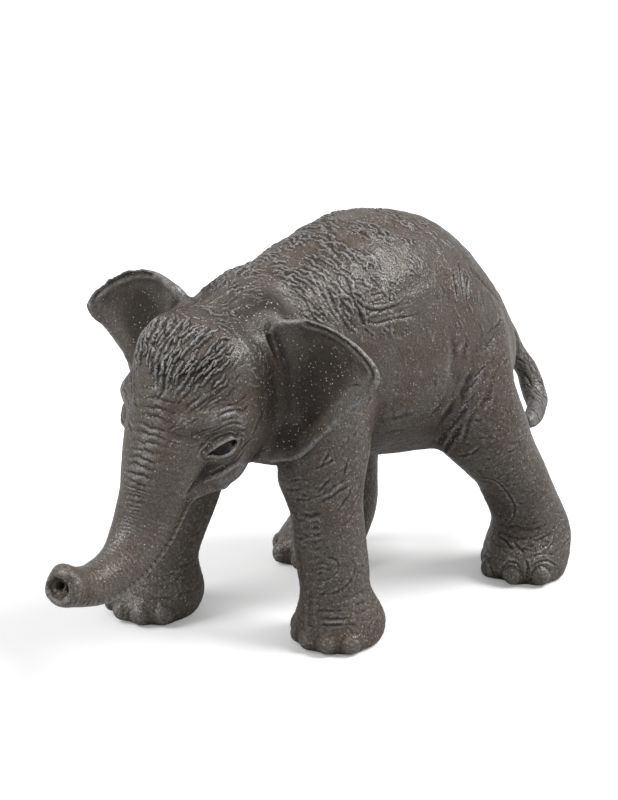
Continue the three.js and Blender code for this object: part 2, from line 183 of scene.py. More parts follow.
TOPS = {  # where each leg's own line meets the body, and its height
    "left_foreleg": (0.6, 0.315, 41.0), "right_foreleg": (-0.66, 0.307, 41.0),
    "left_hindleg": (0.66, 0.77, 42.0), "right_hindleg": (-0.66, 0.75, 42.0),
}
EAR_ROOT, EAR_SPREAD = (9.5, 2.45, -9.73), math.radians(82)
EAR_HEIGHT, EAR_REACH, EAR_DISH, EAR_CURL, EAR_ARCH = 23.3, 17.2, 1.8, 1.6, 1.7
EAR_LIFT = {"left_ear": 1.4, "right_ear": -1.8}
EAR_SHARES = (  # up the root, reach, curl
    (0.0, 0.17, 0.0), (0.03, 0.26, 0.0), (0.09, 0.35, 0.0), (0.23, 0.52, 0.0), (0.38, 0.69, 0.0),
    (0.5, 0.82, 0.0), (0.6, 0.92, 0.0), (0.69, 0.985, 0.0), (0.75, 1.0, 0.05), (0.82, 0.93, 0.15),
    (0.88, 0.78, 0.3), (0.94, 0.57, 0.6), (1.0, 0.31, 1.0),
)

# Where the modelling frame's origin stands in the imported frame
_low, _high = (np.array(corner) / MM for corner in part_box("torso"))
SHIFT = np.array([
    (_low[0] + _high[0]) / 2,
    _high[1] - TORSO_LENGTH * (1 - TORSO_AHEAD_SHARE),
    0.0,
])

# The photograph's view
VIEW_BACK = np.array([0.66446, -0.66446, 0.34202])
VIEW_RIGHT = np.array([math.sqrt(0.5), math.sqrt(0.5), 0.0])
VIEW_UP = np.cross(VIEW_BACK, VIEW_RIGHT)
VIEW_TARGET = SHIFT + np.array([-5.0, 0.0, 28.0])
VIEW_LENS, VIEW_SENSOR = 161.28, 36.0
VIEW_SIZE, VIEW_MIDDLE = (618, 800), (331, 410)
VIEW_SCALE = VIEW_LENS / VIEW_SENSOR * max(VIEW_SIZE)


def turn_about(axis, angle):
    return np.array(Matrix.Rotation(angle, 3, axis))


HEAD_AXES = turn_about("Z", HEAD_TURN) @ turn_about("Y", HEAD_TILT)
NECK = SHIFT + np.array([
    0.0,
    NECK_INSET - TORSO_LENGTH * TORSO_AHEAD_SHARE,
    BELLY_HEIGHT + NECK_SHARE * TORSO_DEPTH,
])


def of_head(points):
    """Points of the head's own frame (left, back, up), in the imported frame."""
    return np.asarray(points, float) @ HEAD_AXES.T + NECK


def in_head(points):
    return (points - NECK) @ HEAD_AXES


def body_point(side, along, height):
    return SHIFT + np.array([
        side * TORSO_WIDTH / 2, TORSO_LENGTH * (along - TORSO_AHEAD_SHARE), height])


def curve_through(rows, steps):
    """Uniform Catmull-Rom through rows of numbers, as the solids' forms use."""
    rows = np.asarray(rows, float)
    ends = np.vstack([2 * rows[0] - rows[1], rows, 2 * rows[-1] - rows[-2]])
    found = []
    for step in np.linspace(0, len(rows) - 1, steps):
        i = min(int(step), len(rows) - 2)
        t = step - i
        p0, p1, p2, p3 = ends[i:i + 4]
        v0, v1 = (p2 - p0) / 2, (p3 - p1) / 2
        found.append(
            (2 * p1 - 2 * p2 + v0 + v1) * t ** 3 + (3 * p2 - 3 * p1 - 2 * v0 - v1) * t ** 2 + v0 * t + p1
        )
    return np.array(found)


def smooth_step(low, high, value):
    t = np.clip((value - low) / (high - low), 0, 1)
    return t * t * (3 - 2 * t)


def bell(value, middle, width):
    return np.exp(-(((value - middle) / width) ** 2))


def unit(vectors):
    return vectors / np.maximum(np.linalg.norm(vectors, axis=-1, keepdims=True), 1e-9)


# Noise
def _noise_table(seed):
    draw = np.random.default_rng(seed)
    order = draw.permutation(256)
    return np.concatenate([order, order]), unit(draw.normal(size=(256, 3)))


NOISE = _noise_table(11)


def noise(points, shift=0.0):
    """Smooth noise of about -1 to 1, with one swell to a unit."""
    order, slopes = NOISE
    points = points + shift
    low = np.floor(points).astype(int)
    part = points - low
    ease = part ** 3 * (part * (part * 6 - 15) + 10)
    low &= 255
    total = np.zeros(len(points))
    for corner in np.ndindex(2, 2, 2):
        x, y, z = ((low + corner) & 255).T
        slope = slopes[order[order[order[x] + y] + z]]
        weight = np.prod(np.where(corner, ease, 1 - ease), axis=1)
        total += weight * np.einsum("ij,ij->i", slope, part - corner)
    return total * 1.6


# Distance fields
BAND, MARGIN = 3.24, 4.5  # how far from the solids the fields hold, and the room round the figure, in mm
BLUR_REACH = 2.5  # of its width


class Block:
    """The grid on which the figure's masses are sculpted."""

    def __init__(self, step):
        self.step = step
        self.low = np.floor((np.array(CAD_LOW) / MM - MARGIN) / step).astype(int)
        self.size = np.ceil((np.array(CAD_HIGH) / MM + MARGIN) / step).astype(int) - self.low

    def level_set(self, node):
        """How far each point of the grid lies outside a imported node, up to the band."""
        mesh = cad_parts[node].data
        points = np.empty(len(mesh.vertices) * 3, np.float32)
        mesh.vertices.foreach_get("co", points)
        mesh.calc_loop_triangles()
        corners = np.empty(len(mesh.loop_triangles) * 3, np.int32)
        mesh.loop_triangles.foreach_get("vertices", corners)
        grid = vdb.FloatGrid.createLevelSetFromPolygons(
            (points.reshape(-1, 3) / MM).astype(np.float32),
            triangles=corners.reshape(-1, 3).astype(np.uint32),
            transform=vdb.createLinearTransform(self.step), halfWidth=BAND / self.step,
        )
        field = np.empty(self.size, np.float32)
        grid.copyToArray(field, ijk=tuple(int(i) for i in self.low))
        return field

    def part(self, low, high):
        """The slices of the grid that hold a box, and the places of their points."""
        first = np.clip(np.floor(np.asarray(low) / self.step).astype(int) - self.low, 0, self.size - 1)
        last = np.clip(np.ceil(np.asarray(high) / self.step).astype(int) - self.low + 1, 1, self.size)
        slices = tuple(slice(int(a), int(b)) for a, b in zip(first, last))
        axes = [(np.arange(s.start, s.stop) + g) * self.step for s, g in zip(slices, self.low)]
        return slices, np.stack(np.meshgrid(*axes, indexing="ij"), -1)

    def lump(self, field, centre, radii, axes=np.eye(3), blend=1.0, cut=False):
        """Adds an oval lump to a field, or cuts it out. The columns of axes are the lump's own."""
        radii = np.asarray(radii, float)
        reach = radii.max() + blend + 1
        slices, points = self.part(centre - reach, centre + reach)
        local = (points - centre) @ axes
        near = np.linalg.norm(local / radii, axis=-1)
        steep = np.linalg.norm(local / radii ** 2, axis=-1)
        self.meet(field, slices, near * (near - 1) / np.maximum(steep, 1e-6), blend, cut)

    def rope(self, field, path, radii, blend=1.0, cut=False):
        """Adds a rope-like swelling to a field along a path, or cuts a furrow."""
        path = np.asarray(path, float)
        reach = max(radii) + blend + 1
        slices, points = self.part(path.min(0) - reach, path.max(0) + reach)
        best = np.full(points.shape[:-1], 1e3)
        for a, b, ra, rb in zip(path[:-1], path[1:], radii[:-1], radii[1:]):
            along = np.clip(((points - a) @ (b - a)) / max((b - a) @ (b - a), 1e-9), 0, 1)
            away = np.linalg.norm(points - (a + along[..., None] * (b - a)), axis=-1)
            best = np.minimum(best, away - (ra + (rb - ra) * along))
        self.meet(field, slices, best, blend, cut)

    @staticmethod
    def meet(field, slices, shape, blend, cut):
        here = field[slices]
        field[slices] = -blended(-here, shape, blend) if cut else blended(here, shape, blend)

    def softened(self, field, sigma):
        """A field blurred along each axis."""
        reach = int(math.ceil(BLUR_REACH * sigma / self.step))
        offsets = np.arange(-reach, reach + 1)
        weights = np.exp(-((offsets * self.step / sigma) ** 2) / 2)
        weights = (weights / weights.sum()).astype(np.float32)
        for axis in range(3):
            edges = [(reach, reach) if a == axis else (0, 0) for a in range(3)]
            padded = np.moveaxis(np.pad(field, edges, mode="edge"), axis, 0)
            count = field.shape[axis]
            field = np.moveaxis(sum(w * padded[i:i + count] for i, w in enumerate(weights)), 0, axis)
        return np.ascontiguousarray(field)

    def sampled(self, field, points):
        """A field's value at any points, straight between the grid's."""
        place = np.clip(points / self.step - self.low, 0, np.array(field.shape) - 1.001)
        low = place.astype(int)
        share = place - low
        total = np.zeros(len(points))
        for corner in np.ndindex(2, 2, 2):
            weight = np.prod(np.where(corner, share, 1 - share), axis=1)
            i, j, k = (low + corner).T
            total += weight * field[i, j, k]
        return total

    def skin_of(self, field):
        """The zero surface of a field, as points and triangles."""
        grid = vdb.FloatGrid(BAND)
        grid.copyFromArray(np.clip(field, -BAND, BAND).astype(np.float32), tolerance=0.0)
        points, quads = grid.convertToQuads(isovalue=0.0)
        points = (np.asarray(points, float) + self.low) * self.step
        quads = np.asarray(quads, np.int64)
        a, b, c, d = (points[quads[:, i]] for i in range(4))
        short = np.linalg.norm(a - c, axis=1) < np.linalg.norm(b - d, axis=1)
        first = np.where(short[:, None], quads[:, [0, 1, 2]], quads[:, [1, 2, 3]])
        second = np.where(short[:, None], quads[:, [0, 2, 3]], quads[:, [1, 3, 0]])
        triangles = np.vstack([first, second])
        a, b, c = (points[triangles[:, i]] for i in range(3))
        if np.einsum("ij,ij->i", a, np.cross(b, c)).sum() < 0:
            triangles = triangles[:, ::-1]
        return points, np.ascontiguousarray(triangles)


def blended(a, b, width):
    """The lesser of two fields, with a fillet of that width where they meet."""
    width = np.maximum(width, 1e-3)
    share = np.clip(1 - np.abs(a - b) / width, 0, None)
    return np.minimum(a, b) - share * share * width / 4


# Places on the body
def torso_line(points):
    """Shares along the torso, and radians round it from the spine, of any points."""
    rows = curve_through([
        (along, bottom + (top - bottom) * WIDEST_SHARE, half, (top - bottom) * (1 - WIDEST_SHARE),
         (top - bottom) * WIDEST_SHARE) for along, top, bottom, half in TORSO_SHARES], 200)
    place = points - SHIFT
    along = place[:, 1] / TORSO_LENGTH + TORSO_AHEAD_SHARE
    middle, half, rise, drop = (np.interp(along, rows[:, 0], rows[:, i]) for i in range(1, 5))
    high = place[:, 2] - BELLY_HEIGHT - middle * TORSO_DEPTH
    high /= np.where(high > 0, rise, drop) * TORSO_DEPTH
    around = np.arctan2(np.abs(place[:, 0]) / (half * TORSO_WIDTH), high)
    return along, around


TRUNK_PATH = curve_through([
    (-sway * TRUNK_WIDTH, -reach * TRUNK_REACH, -drop * TRUNK_DROP, half * TRUNK_WIDTH,
     front * TRUNK_DEPTH, back * TRUNK_DEPTH)
    for reach, drop, half, front, back, sway in TRUNK_SHARES], 160)
_steps = np.diff(TRUNK_PATH[:, :3], axis=0)
TRUNK_RUN = np.concatenate([[0], np.cumsum(np.linalg.norm(_steps, axis=1))])
TRUNK_AHEAD = unit(np.gradient(TRUNK_PATH[:, :3], axis=0))
TRUNK_FRONT = unit(np.cross(TRUNK_AHEAD, [1.0, 0.0, 0.0]))


AT_ONCE = 20000  # points, so that the table of distances stays small


def trunk_line(head_points):
    """How far along the trunk each point is, in mm, and round it from its front, towards the left."""
    run = np.empty(len(head_points))
    turn = np.empty(len(head_points))
    for first in range(0, len(head_points), AT_ONCE):
        part = slice(first, first + AT_ONCE)
        here = head_points[part]
        away = ((here[:, None] - TRUNK_PATH[None, :, :3]) ** 2).sum(2)
        near = away.argmin(1)
        off = here - TRUNK_PATH[near, :3]
        run[part] = TRUNK_RUN[near] + np.einsum("ij,ij->i", off, TRUNK_AHEAD[near])
        turn[part] = np.arctan2(off[:, 0], np.einsum("ij,ij->i", off, TRUNK_FRONT[near]))
    return run, turn


def ear_axes(side):
    left, back, low = EAR_ROOT
    outward = np.array([side * math.sin(EAR_SPREAD), math.cos(EAR_SPREAD), 0])
    facing = np.array([side * math.cos(EAR_SPREAD), -math.sin(EAR_SPREAD), 0])
    return np.array([side * left, back, low]), outward, facing


EAR_OUTLINE = curve_through([
    (reach * EAR_REACH, level * EAR_HEIGHT) for level, reach, _ in EAR_SHARES], 90)


def ear_line(head_points, node):
    """Out along the ear and up its root in mm, how far in from its edge, and how far ahead of its middle."""
    root, outward, facing = ear_axes(1 if node == "left_ear" else -1)
    off = head_points - root
    out = off @ outward
    share = np.clip(out / EAR_REACH, 0, 1)
    high = off[:, 2] - EAR_ARCH * np.sin(math.pi * share) - EAR_LIFT[node] * share ** 2
    rows = np.array(EAR_SHARES)
    level = high / EAR_HEIGHT
    reach = np.interp(level, rows[:, 0], rows[:, 1])
    curl = np.interp(level, rows[:, 0], rows[:, 2])
    hollow = np.sin(math.pi * np.minimum(1, share / reach)) * reach
    front = off @ facing - EAR_CURL * (share ** 2 + curl) + EAR_DISH * hollow
    place = np.stack([out, high], 1)
    edge = np.full(len(place), 1e3)
    for a, b in zip(EAR_OUTLINE[:-1], EAR_OUTLINE[1:]):
        along = np.clip(((place - a) @ (b - a)) / ((b - a) @ (b - a)), 0, 1)
        edge = np.minimum(edge, np.linalg.norm(place - a - along[:, None] * (b - a), axis=1))
    return out, high, edge, front


def leg_line(points, leg):
    """Height up a leg, and outward and ahead of its own line, in mm."""
    side, along, _, _ = SOLES[leg]
    foot = body_point(side, along, 0.0)
    side_top, along_top, height = TOPS[leg]
    top = body_point(side_top, along_top, height)
    rise = np.clip(points[:, 2] / height, 0, 1)
    off = points - (foot + rise[:, None] * (top - foot))
    return points[:, 2], off[:, 0] * np.sign(side), -off[:, 1]


# Sculpting the masses. Places and radii are in mm, those on the head in its own frame
HUMP = (0.0, -24.0, 47.5), (9.5, 8.0, 7.2), 3.0  # behind the neck, from the modelling origin, with its fillet
BRIDGE_MELT = (0.0, -13.5, 3.2), (10.0, 6.5, 7.5), 1.9  # smoothed away, with the blur's width
TEMPLE_MELT = (10.6, -3.4, -3.0), (4.2, 4.6, 8.5), 1.3
MELTED_SHARE = 0.45  # how much of such an oval is smoothed in full
EAR_BLUR, EAR_WELD, EAR_ROOT_SINK = 0.36, 0.02, 3.0
EAR_ROOT_ENDS = 0.9, 3.6  # how far from the head's solid an ear's root starts and ends to fade
EYE_SWELL, EYE_SWELL_BACK, EYE_SWELL_FILLET = (2.6, 2.6, 2.6), 1.35, 0.6
CROWN_DOME = (4.0, -3.0, 6.9), (5.6, 7.0, 4.9), 2.2
HEAD_ROPES = (  # path and radii, fillet, and whether it is cut in: brow, cheek, lower jaw, line of the mouth
    (((4.6, -12.6, 0.2), (7.4, -10.4, 0.9), (9.4, -6.8, 0.2)), (0.9, 1.15, 0.8), 2.0, False),
    (((8.9, -5.4, -6.8), (7.0, -8.2, -9.0), (4.8, -10.6, -10.9)), (1.3, 1.2, 0.9), 1.6, False),
    (((7.4, -7.8, -10.0), (5.0, -11.0, -11.9), (2.6, -13.6, -13.0)), (0.7, 0.75, 0.6), 0.8, False),
    (((6.2, -11.9, -9.3), (4.9, -13.3, -11.0), (3.6, -14.6, -12.7)), (0.3, 0.4, 0.45), 0.5, True),
)
TRUNK_RIDGE_STEPS, TRUNK_RIDGE_RADIUS, TRUNK_RIDGE_FILLET = slice(78, 150, 8), 0.62, 0.7
TRUNK_RIDGE_OUT_SHARE, TRUNK_RIDGE_BACK_SHARES = 0.8, (0, 0.5, -0.45)
TIP_LUMPS = (  # left, on and up from the trunk's end, radii, fillet, and whether it is cut out
    ((0.0, -1.6, 0.0), (2.75, 1.7, 2.6), 1.0, False),
    ((0.0, -0.5, 2.15), (1.7, 1.3, 0.95), 0.9, False),
    ((0.0, 0.5, -0.35), (2.2, 1.6, 1.8), 0.4, True),
    ((0.85, -1.2, -0.2), (0.66, 1.6, 0.78), 0.3, True),
    ((-0.85, -1.2, -0.2), (0.66, 1.6, 0.78), 0.3, True),
)
NAIL_ANGLES = {  # degrees
    "left_foreleg": (-64, -34, -4, 28, 60), "right_foreleg": (-60, -28, 4, 34, 64),
    "left_hindleg": (-56, -20, 20, 58), "right_hindleg": (-58, -20, 20, 56),
}
NAIL_HEIGHT, NAIL_INSET = 1.9, 1.5
FORE_NAIL, HIND_NAIL = ((1.6, 1.3, 1.4), 1.6), ((1.75, 1.7, 1.8), 0.9)


def sculpted(form):
    """The figure's masses as one field, and each node's own field, on a block."""
    block = Block(form.detail / MM)
    fields = {node: block.level_set(node) for node in HIDE_NODES}
    body = fields["torso"].copy()
    for leg in LEGS:
        body = blended(body, fields[leg], form.leg_fillet / MM)
    body = blended(body, fields["tail"], form.tail_fillet / MM)
    body = blended(body, fields["head_and_trunk"], form.neck_fillet / MM)
    place, radii, fillet = HUMP
    block.lump(body, SHIFT + np.array(place), radii, blend=fillet)
    body = block.softened(body, form.softness / MM)
    melt(block, body, *BRIDGE_MELT)
    shape_head(block, body)
    shape_feet(block, body)
    ears = block.softened(np.minimum(fields["left_ear"], fields["right_ear"]), EAR_BLUR)
    root = 1 - smooth_step(*EAR_ROOT_ENDS, fields["head_and_trunk"])
    body = np.maximum(body, form.ear_gap / MM * (1 - root) - ears - EAR_ROOT_SINK * root)
    body = blended(body, ears, form.ear_fillet / MM * root + EAR_WELD)
    place, radii, blur = TEMPLE_MELT
    for side in (1, -1):
        melt(block, body, np.array(place) * [side, 1, 1], radii, blur)
    return block, body, fields


def melt(block, body, place, radii, blur):
    """Smooths the form away within an oval of the head."""
    centre, radii = of_head(place), np.array(radii)
    slices, points = block.part(centre - radii.max() - 1, centre + radii.max() + 1)
    patch = block.softened(body[slices], blur)
    off = np.linalg.norm((points - centre) @ HEAD_AXES / radii, axis=-1)
    share = 1 - smooth_step(MELTED_SHARE, 1.0, off)
    body[slices] = body[slices] * (1 - share) + patch * share


def shape_head(block, body):
    """Swells and furrows of both sides of the head, and the trunk's edges and tip."""
    for side in (1, -1):
        flip = np.array([side, 1, 1])
        facing = np.array([side * math.sin(EYE_FACING), -math.cos(EYE_FACING), 0]) @ HEAD_AXES.T
        eye = of_head(np.array(EYE_SPOT) * flip)
        block.lump(body, eye - EYE_SWELL_BACK * facing, EYE_SWELL, blend=EYE_SWELL_FILLET)
        place, radii, fillet = CROWN_DOME
        block.lump(body, of_head(np.array(place) * flip), radii, HEAD_AXES * flip, fillet)
        for path, radii, fillet, cut in HEAD_ROPES:
            block.rope(body, of_head(np.array(path) * flip), radii, fillet, cut)
        ridge = []
        for row in TRUNK_PATH[TRUNK_RIDGE_STEPS]:
            out = np.array([side * row[3] * TRUNK_RIDGE_OUT_SHARE, 0, 0])
            ridge.append(of_head(row[:3] + out + np.array(TRUNK_RIDGE_BACK_SHARES) * row[5]))
        block.rope(body, ridge, [TRUNK_RIDGE_RADIUS] * len(ridge), TRUNK_RIDGE_FILLET)
    tip_axes = np.stack([[1.0, 0.0, 0.0], TRUNK_AHEAD[-1], TRUNK_FRONT[-1]], 1)
    for place, radii, fillet, cut in TIP_LUMPS:
        centre = of_head(TRUNK_PATH[-1, :3] + tip_axes @ np.array(place))
        block.lump(body, centre, radii, HEAD_AXES @ tip_axes, fillet, cut)


def nail_spots(leg, height, inset=0.0):
    """The middles of a foot's nails and the ways that they face. Angles go round from ahead to outward."""
    side, along, half, depth = SOLES[leg]
    foot = body_point(side, along, height)
    for angle in np.radians(NAIL_ANGLES[leg]):
        facing = np.array([math.copysign(1, side) * math.sin(angle), -math.cos(angle), 0])
        yield foot + facing * (np.array([half, depth, 0]) - inset), facing


def shape_feet(block, body):
    for leg in LEGS:
        radii, fillet = HIND_NAIL if "hind" in leg else FORE_NAIL
        for spot, facing in nail_spots(leg, NAIL_HEIGHT, NAIL_INSET):
            axes = np.stack([[-facing[1], facing[0], 0], facing, [0, 0, 1]], 1)
            block.lump(body, spot, radii, axes, fillet)


# Meshes
def summed(index, values, count):
    return np.stack([np.bincount(index, values[:, i], count) for i in range(values.shape[1])], 1)


def normals_of(points, triangles):
    a, b, c = (points[triangles[:, i]] for i in range(3))
    face = np.cross(b - a, c - a)
    return unit(summed(triangles.ravel(), np.repeat(face, 3, axis=0), len(points)))


def edges_of(triangles):
    pairs = np.sort(np.vstack([triangles[:, [0, 1]], triangles[:, [1, 2]], triangles[:, [2, 0]]]), axis=1)
    count = triangles.max() + 1
    key = np.unique(pairs[:, 0] * count + pairs[:, 1])
    return np.stack([key // count, key % count], 1)


def averaged(values, edges):
    """Each point's mean over its neighbours."""
    count = len(values)
    ends = np.concatenate([edges[:, 0], edges[:, 1]])
    others = np.concatenate([edges[:, 1], edges[:, 0]])
    number = np.maximum(np.bincount(ends, minlength=count), 1)
    return summed(ends, values[others], count) / number[:, None]


def relaxed(values, edges, times, pull=0.5, push=-0.53):
    """Smooths without shrinking, by a pull and a push in turn."""
    for _ in range(times):
        for share in (pull, push):
            values = values + share * (averaged(values, edges) - values)
    return values


def connected(count, edges):
    """A number for each point that is the same for all points joined by edges."""
    label = np.arange(count)
    while True:
        before = label.copy()
        lowest = np.minimum(label[edges[:, 0]], label[edges[:, 1]])
        np.minimum.at(label, edges[:, 0], lowest)
        np.minimum.at(label, edges[:, 1], lowest)
        label = label[label]
        if (before == label).all():
            return label


def largest_shell(points, triangles):
    """Only the biggest of the shells that a mesh has."""
    label = connected(len(points), edges_of(triangles))
    names, counts = np.unique(label[triangles[:, 0]], return_counts=True)
    kept = triangles[label[triangles[:, 0]] == names[counts.argmax()]]
    used, new = np.unique(kept, return_inverse=True)
    return points[used], new.reshape(-1, 3)


def refined(points, triangles, marked, values, owner):
    """Quarters the marked triangles, and halves their neighbours so that no edge is left open."""
    count = len(points)
    ends = np.sort(triangles[:, [[0, 1], [1, 2], [2, 0]]], axis=2)
    names, place = np.unique(ends[..., 0] * count + ends[..., 1], return_inverse=True)
    place = place.reshape(-1, 3)
    split = np.zeros(len(names), bool)
    split[place[marked].ravel()] = True
    middle = np.full(len(names), -1)
    middle[split] = count + np.arange(split.sum())
    low, high = names[split] // count, names[split] % count
    normal = normals_of(points, triangles)
    a, b = points[low], points[high]
    third = (b - a) / 3
    pa = a + third - np.einsum("ij,ij->i", third, normal[low])[:, None] * normal[low]
    pb = b - third + np.einsum("ij,ij->i", third, normal[high])[:, None] * normal[high]
    points = np.vstack([points, (a + 3 * pa + 3 * pb + b) / 8])
    values = np.vstack([values, (values[low] + values[high]) / 2])
    mid = middle[place]
    number = (mid >= 0).sum(1)
    made, owners = [triangles[number == 0]], [owner[number == 0]]

    def add(which, *faces):
        for face in faces:
            made.append(np.stack(face, 1))
            owners.append(owner[which])

    whole = number == 3
    t, m = triangles[whole].T, mid[whole].T
    add(whole, (t[0], m[0], m[2]), (m[0], t[1], m[1]), (m[2], m[1], t[2]), (m[0], m[1], m[2]))
    for turn in range(3):
        order = [turn, (turn + 1) % 3, (turn + 2) % 3]
        one = (number == 1) & (mid[:, turn] >= 0)
        t, m = triangles[one][:, order].T, mid[one][:, turn]
        add(one, (t[0], m, t[2]), (m, t[1], t[2]))
        two = (number == 2) & (mid[:, turn] < 0)
        t, m = triangles[two][:, order].T, mid[two][:, order].T
        add(two, (m[1], t[2], m[2]), (t[0], t[1], m[1]), (t[0], m[1], m[2]))
    return points, np.vstack(made), values, np.concatenate(owners)


def owners_of(points, triangles, near):
    """Which node each triangle stands for: the nearest one, each in one patch."""
    owner = near.argmin(1)
    edges = edges_of(triangles)
    for _ in range(6):
        same = edges[owner[edges[:, 0]] == owner[edges[:, 1]]]
        patch = connected(len(points), same)
        names, counts = np.unique(patch, return_counts=True)
        size = np.zeros(len(points), int)
        size[names] = counts
        size = size[patch]
        largest = np.array([size[owner == i].max(initial=0) for i in range(near.shape[1])])
        stray = size < largest[owner]
        if not stray.any():
            break
        ends = np.concatenate([edges, edges[:, ::-1]])
        ends = ends[stray[ends[:, 0]] & ~stray[ends[:, 1]]]
        owner[ends[:, 0]] = owner[ends[:, 1]]
    return owner[triangles].max(1)


# Creases placed from the photograph
def seen_at(tree, u, v):
    """The point of the skin that the photograph's camera sees at a pixel, or None beside it."""
    eye, way = pixel_ray(u, v)
    hit = tree.ray_cast(Vector(eye), Vector(way))[0]
    return None if hit is None else np.array(hit)


def pixel_ray(u, v):
    """Where the photograph's camera stands, and the way that it looks through a pixel."""
    eye = VIEW_TARGET + VIEW_BACK * bpy.context.scene.calf_stage.camera_distance / MM
    right, down = u - VIEW_MIDDLE[0], v - VIEW_MIDDLE[1]
    return eye, unit(-VIEW_BACK + (right * VIEW_RIGHT - down * VIEW_UP) / VIEW_SCALE)


# Pixels of each node's outline, how many pixels right and down that part is pulled, and reach in mm
PULLS = {
    "torso": (
        (235, 272, -2.2, -3.8, 7), (272, 249, 2.2, 3.8, 6), (204, 293, 2, 3.5, 4.5),
        (345, 212, -0.3, -1.8, 9), (452, 232, 1.4, -1.4, 9), (400, 449, 0, -3, 8), (443, 452, -3, 3, 5)),
    "left_ear": ((259, 326, 5, 7, 3.2),),
    "right_ear": (
        (180, 285, 2, -1.5, 5), (98, 287, 1.2, 0.8, 5), (112, 335, 4, -2.5, 6.5), (91, 314, -2, 1, 3),
        (126, 358, 3, -1, 3.5)),
    "head_and_trunk": (
        (125, 388, -2.5, 0, 3.5), (123, 440, 2.2, 0, 6), (121, 478, 1.6, 0, 6), (115, 512, -1.5, -0.5, 5),
        (98, 552, 1.5, 1.8, 4), (62, 564, 0, -1.5, 2.5), (46, 580, 0.8, 0, 2.5), (80, 603, 0, -3, 6),
        (238, 470, 2, 4, 5), (222, 482, 3, 3, 4)),
    "right_foreleg": ((222, 500, 2.5, 0, 6), (201, 560, -3, 0, 6), (122, 614, 1.5, -3.5, 5)),
    "right_hindleg": ((277, 545, 1.8, 0, 5),),
    "left_foreleg": (
        (293, 622, 2, 0, 5), (295, 596, 2, 0, 5), (380, 605, 2.6, 0, 6), (370, 562, 3, 0, 6),
        (373, 490, -4, 0, 7), (289, 484, -7, 1, 5), (282, 472, -5, 1, 4)),
    "left_hindleg": (
        (456, 460, -4.5, 3, 7), (486, 500, -2, 1, 5), (485, 545, 3.8, 0, 5), (481, 568, -3, 1, 3.5),
        (536, 452, -4, -0.5, 6), (569, 538, 1.8, 0, 5), (560, 573, -4, -2.5, 4)),
    "tail": ((528, 345, -2.2, 1, 4), (526, 392, -4.5, 0, 3.5), (546, 402, 1.2, 0, 3)),
}


def pulled(points, owner):
    """The form after small pulls that lay its outline on the photograph's."""
    points = points.copy()
    for node, pulls in PULLS.items():
        own = owner == HIDE_NODES.index(node)
        for u, v, right, down, reach in pulls:
            eye, way = pixel_ray(u, v)
            off = points[own] - eye
            along = off @ way
            best = np.linalg.norm(off - along[:, None] * way, axis=1).argmin()
            shift = (right * VIEW_RIGHT - down * VIEW_UP) * along[best] / VIEW_SCALE
            away = np.linalg.norm(points - (eye + off[best]), axis=1)
            points += np.clip(1 - (away / reach) ** 2, 0, 1)[:, None] ** 2 * shift
    return points


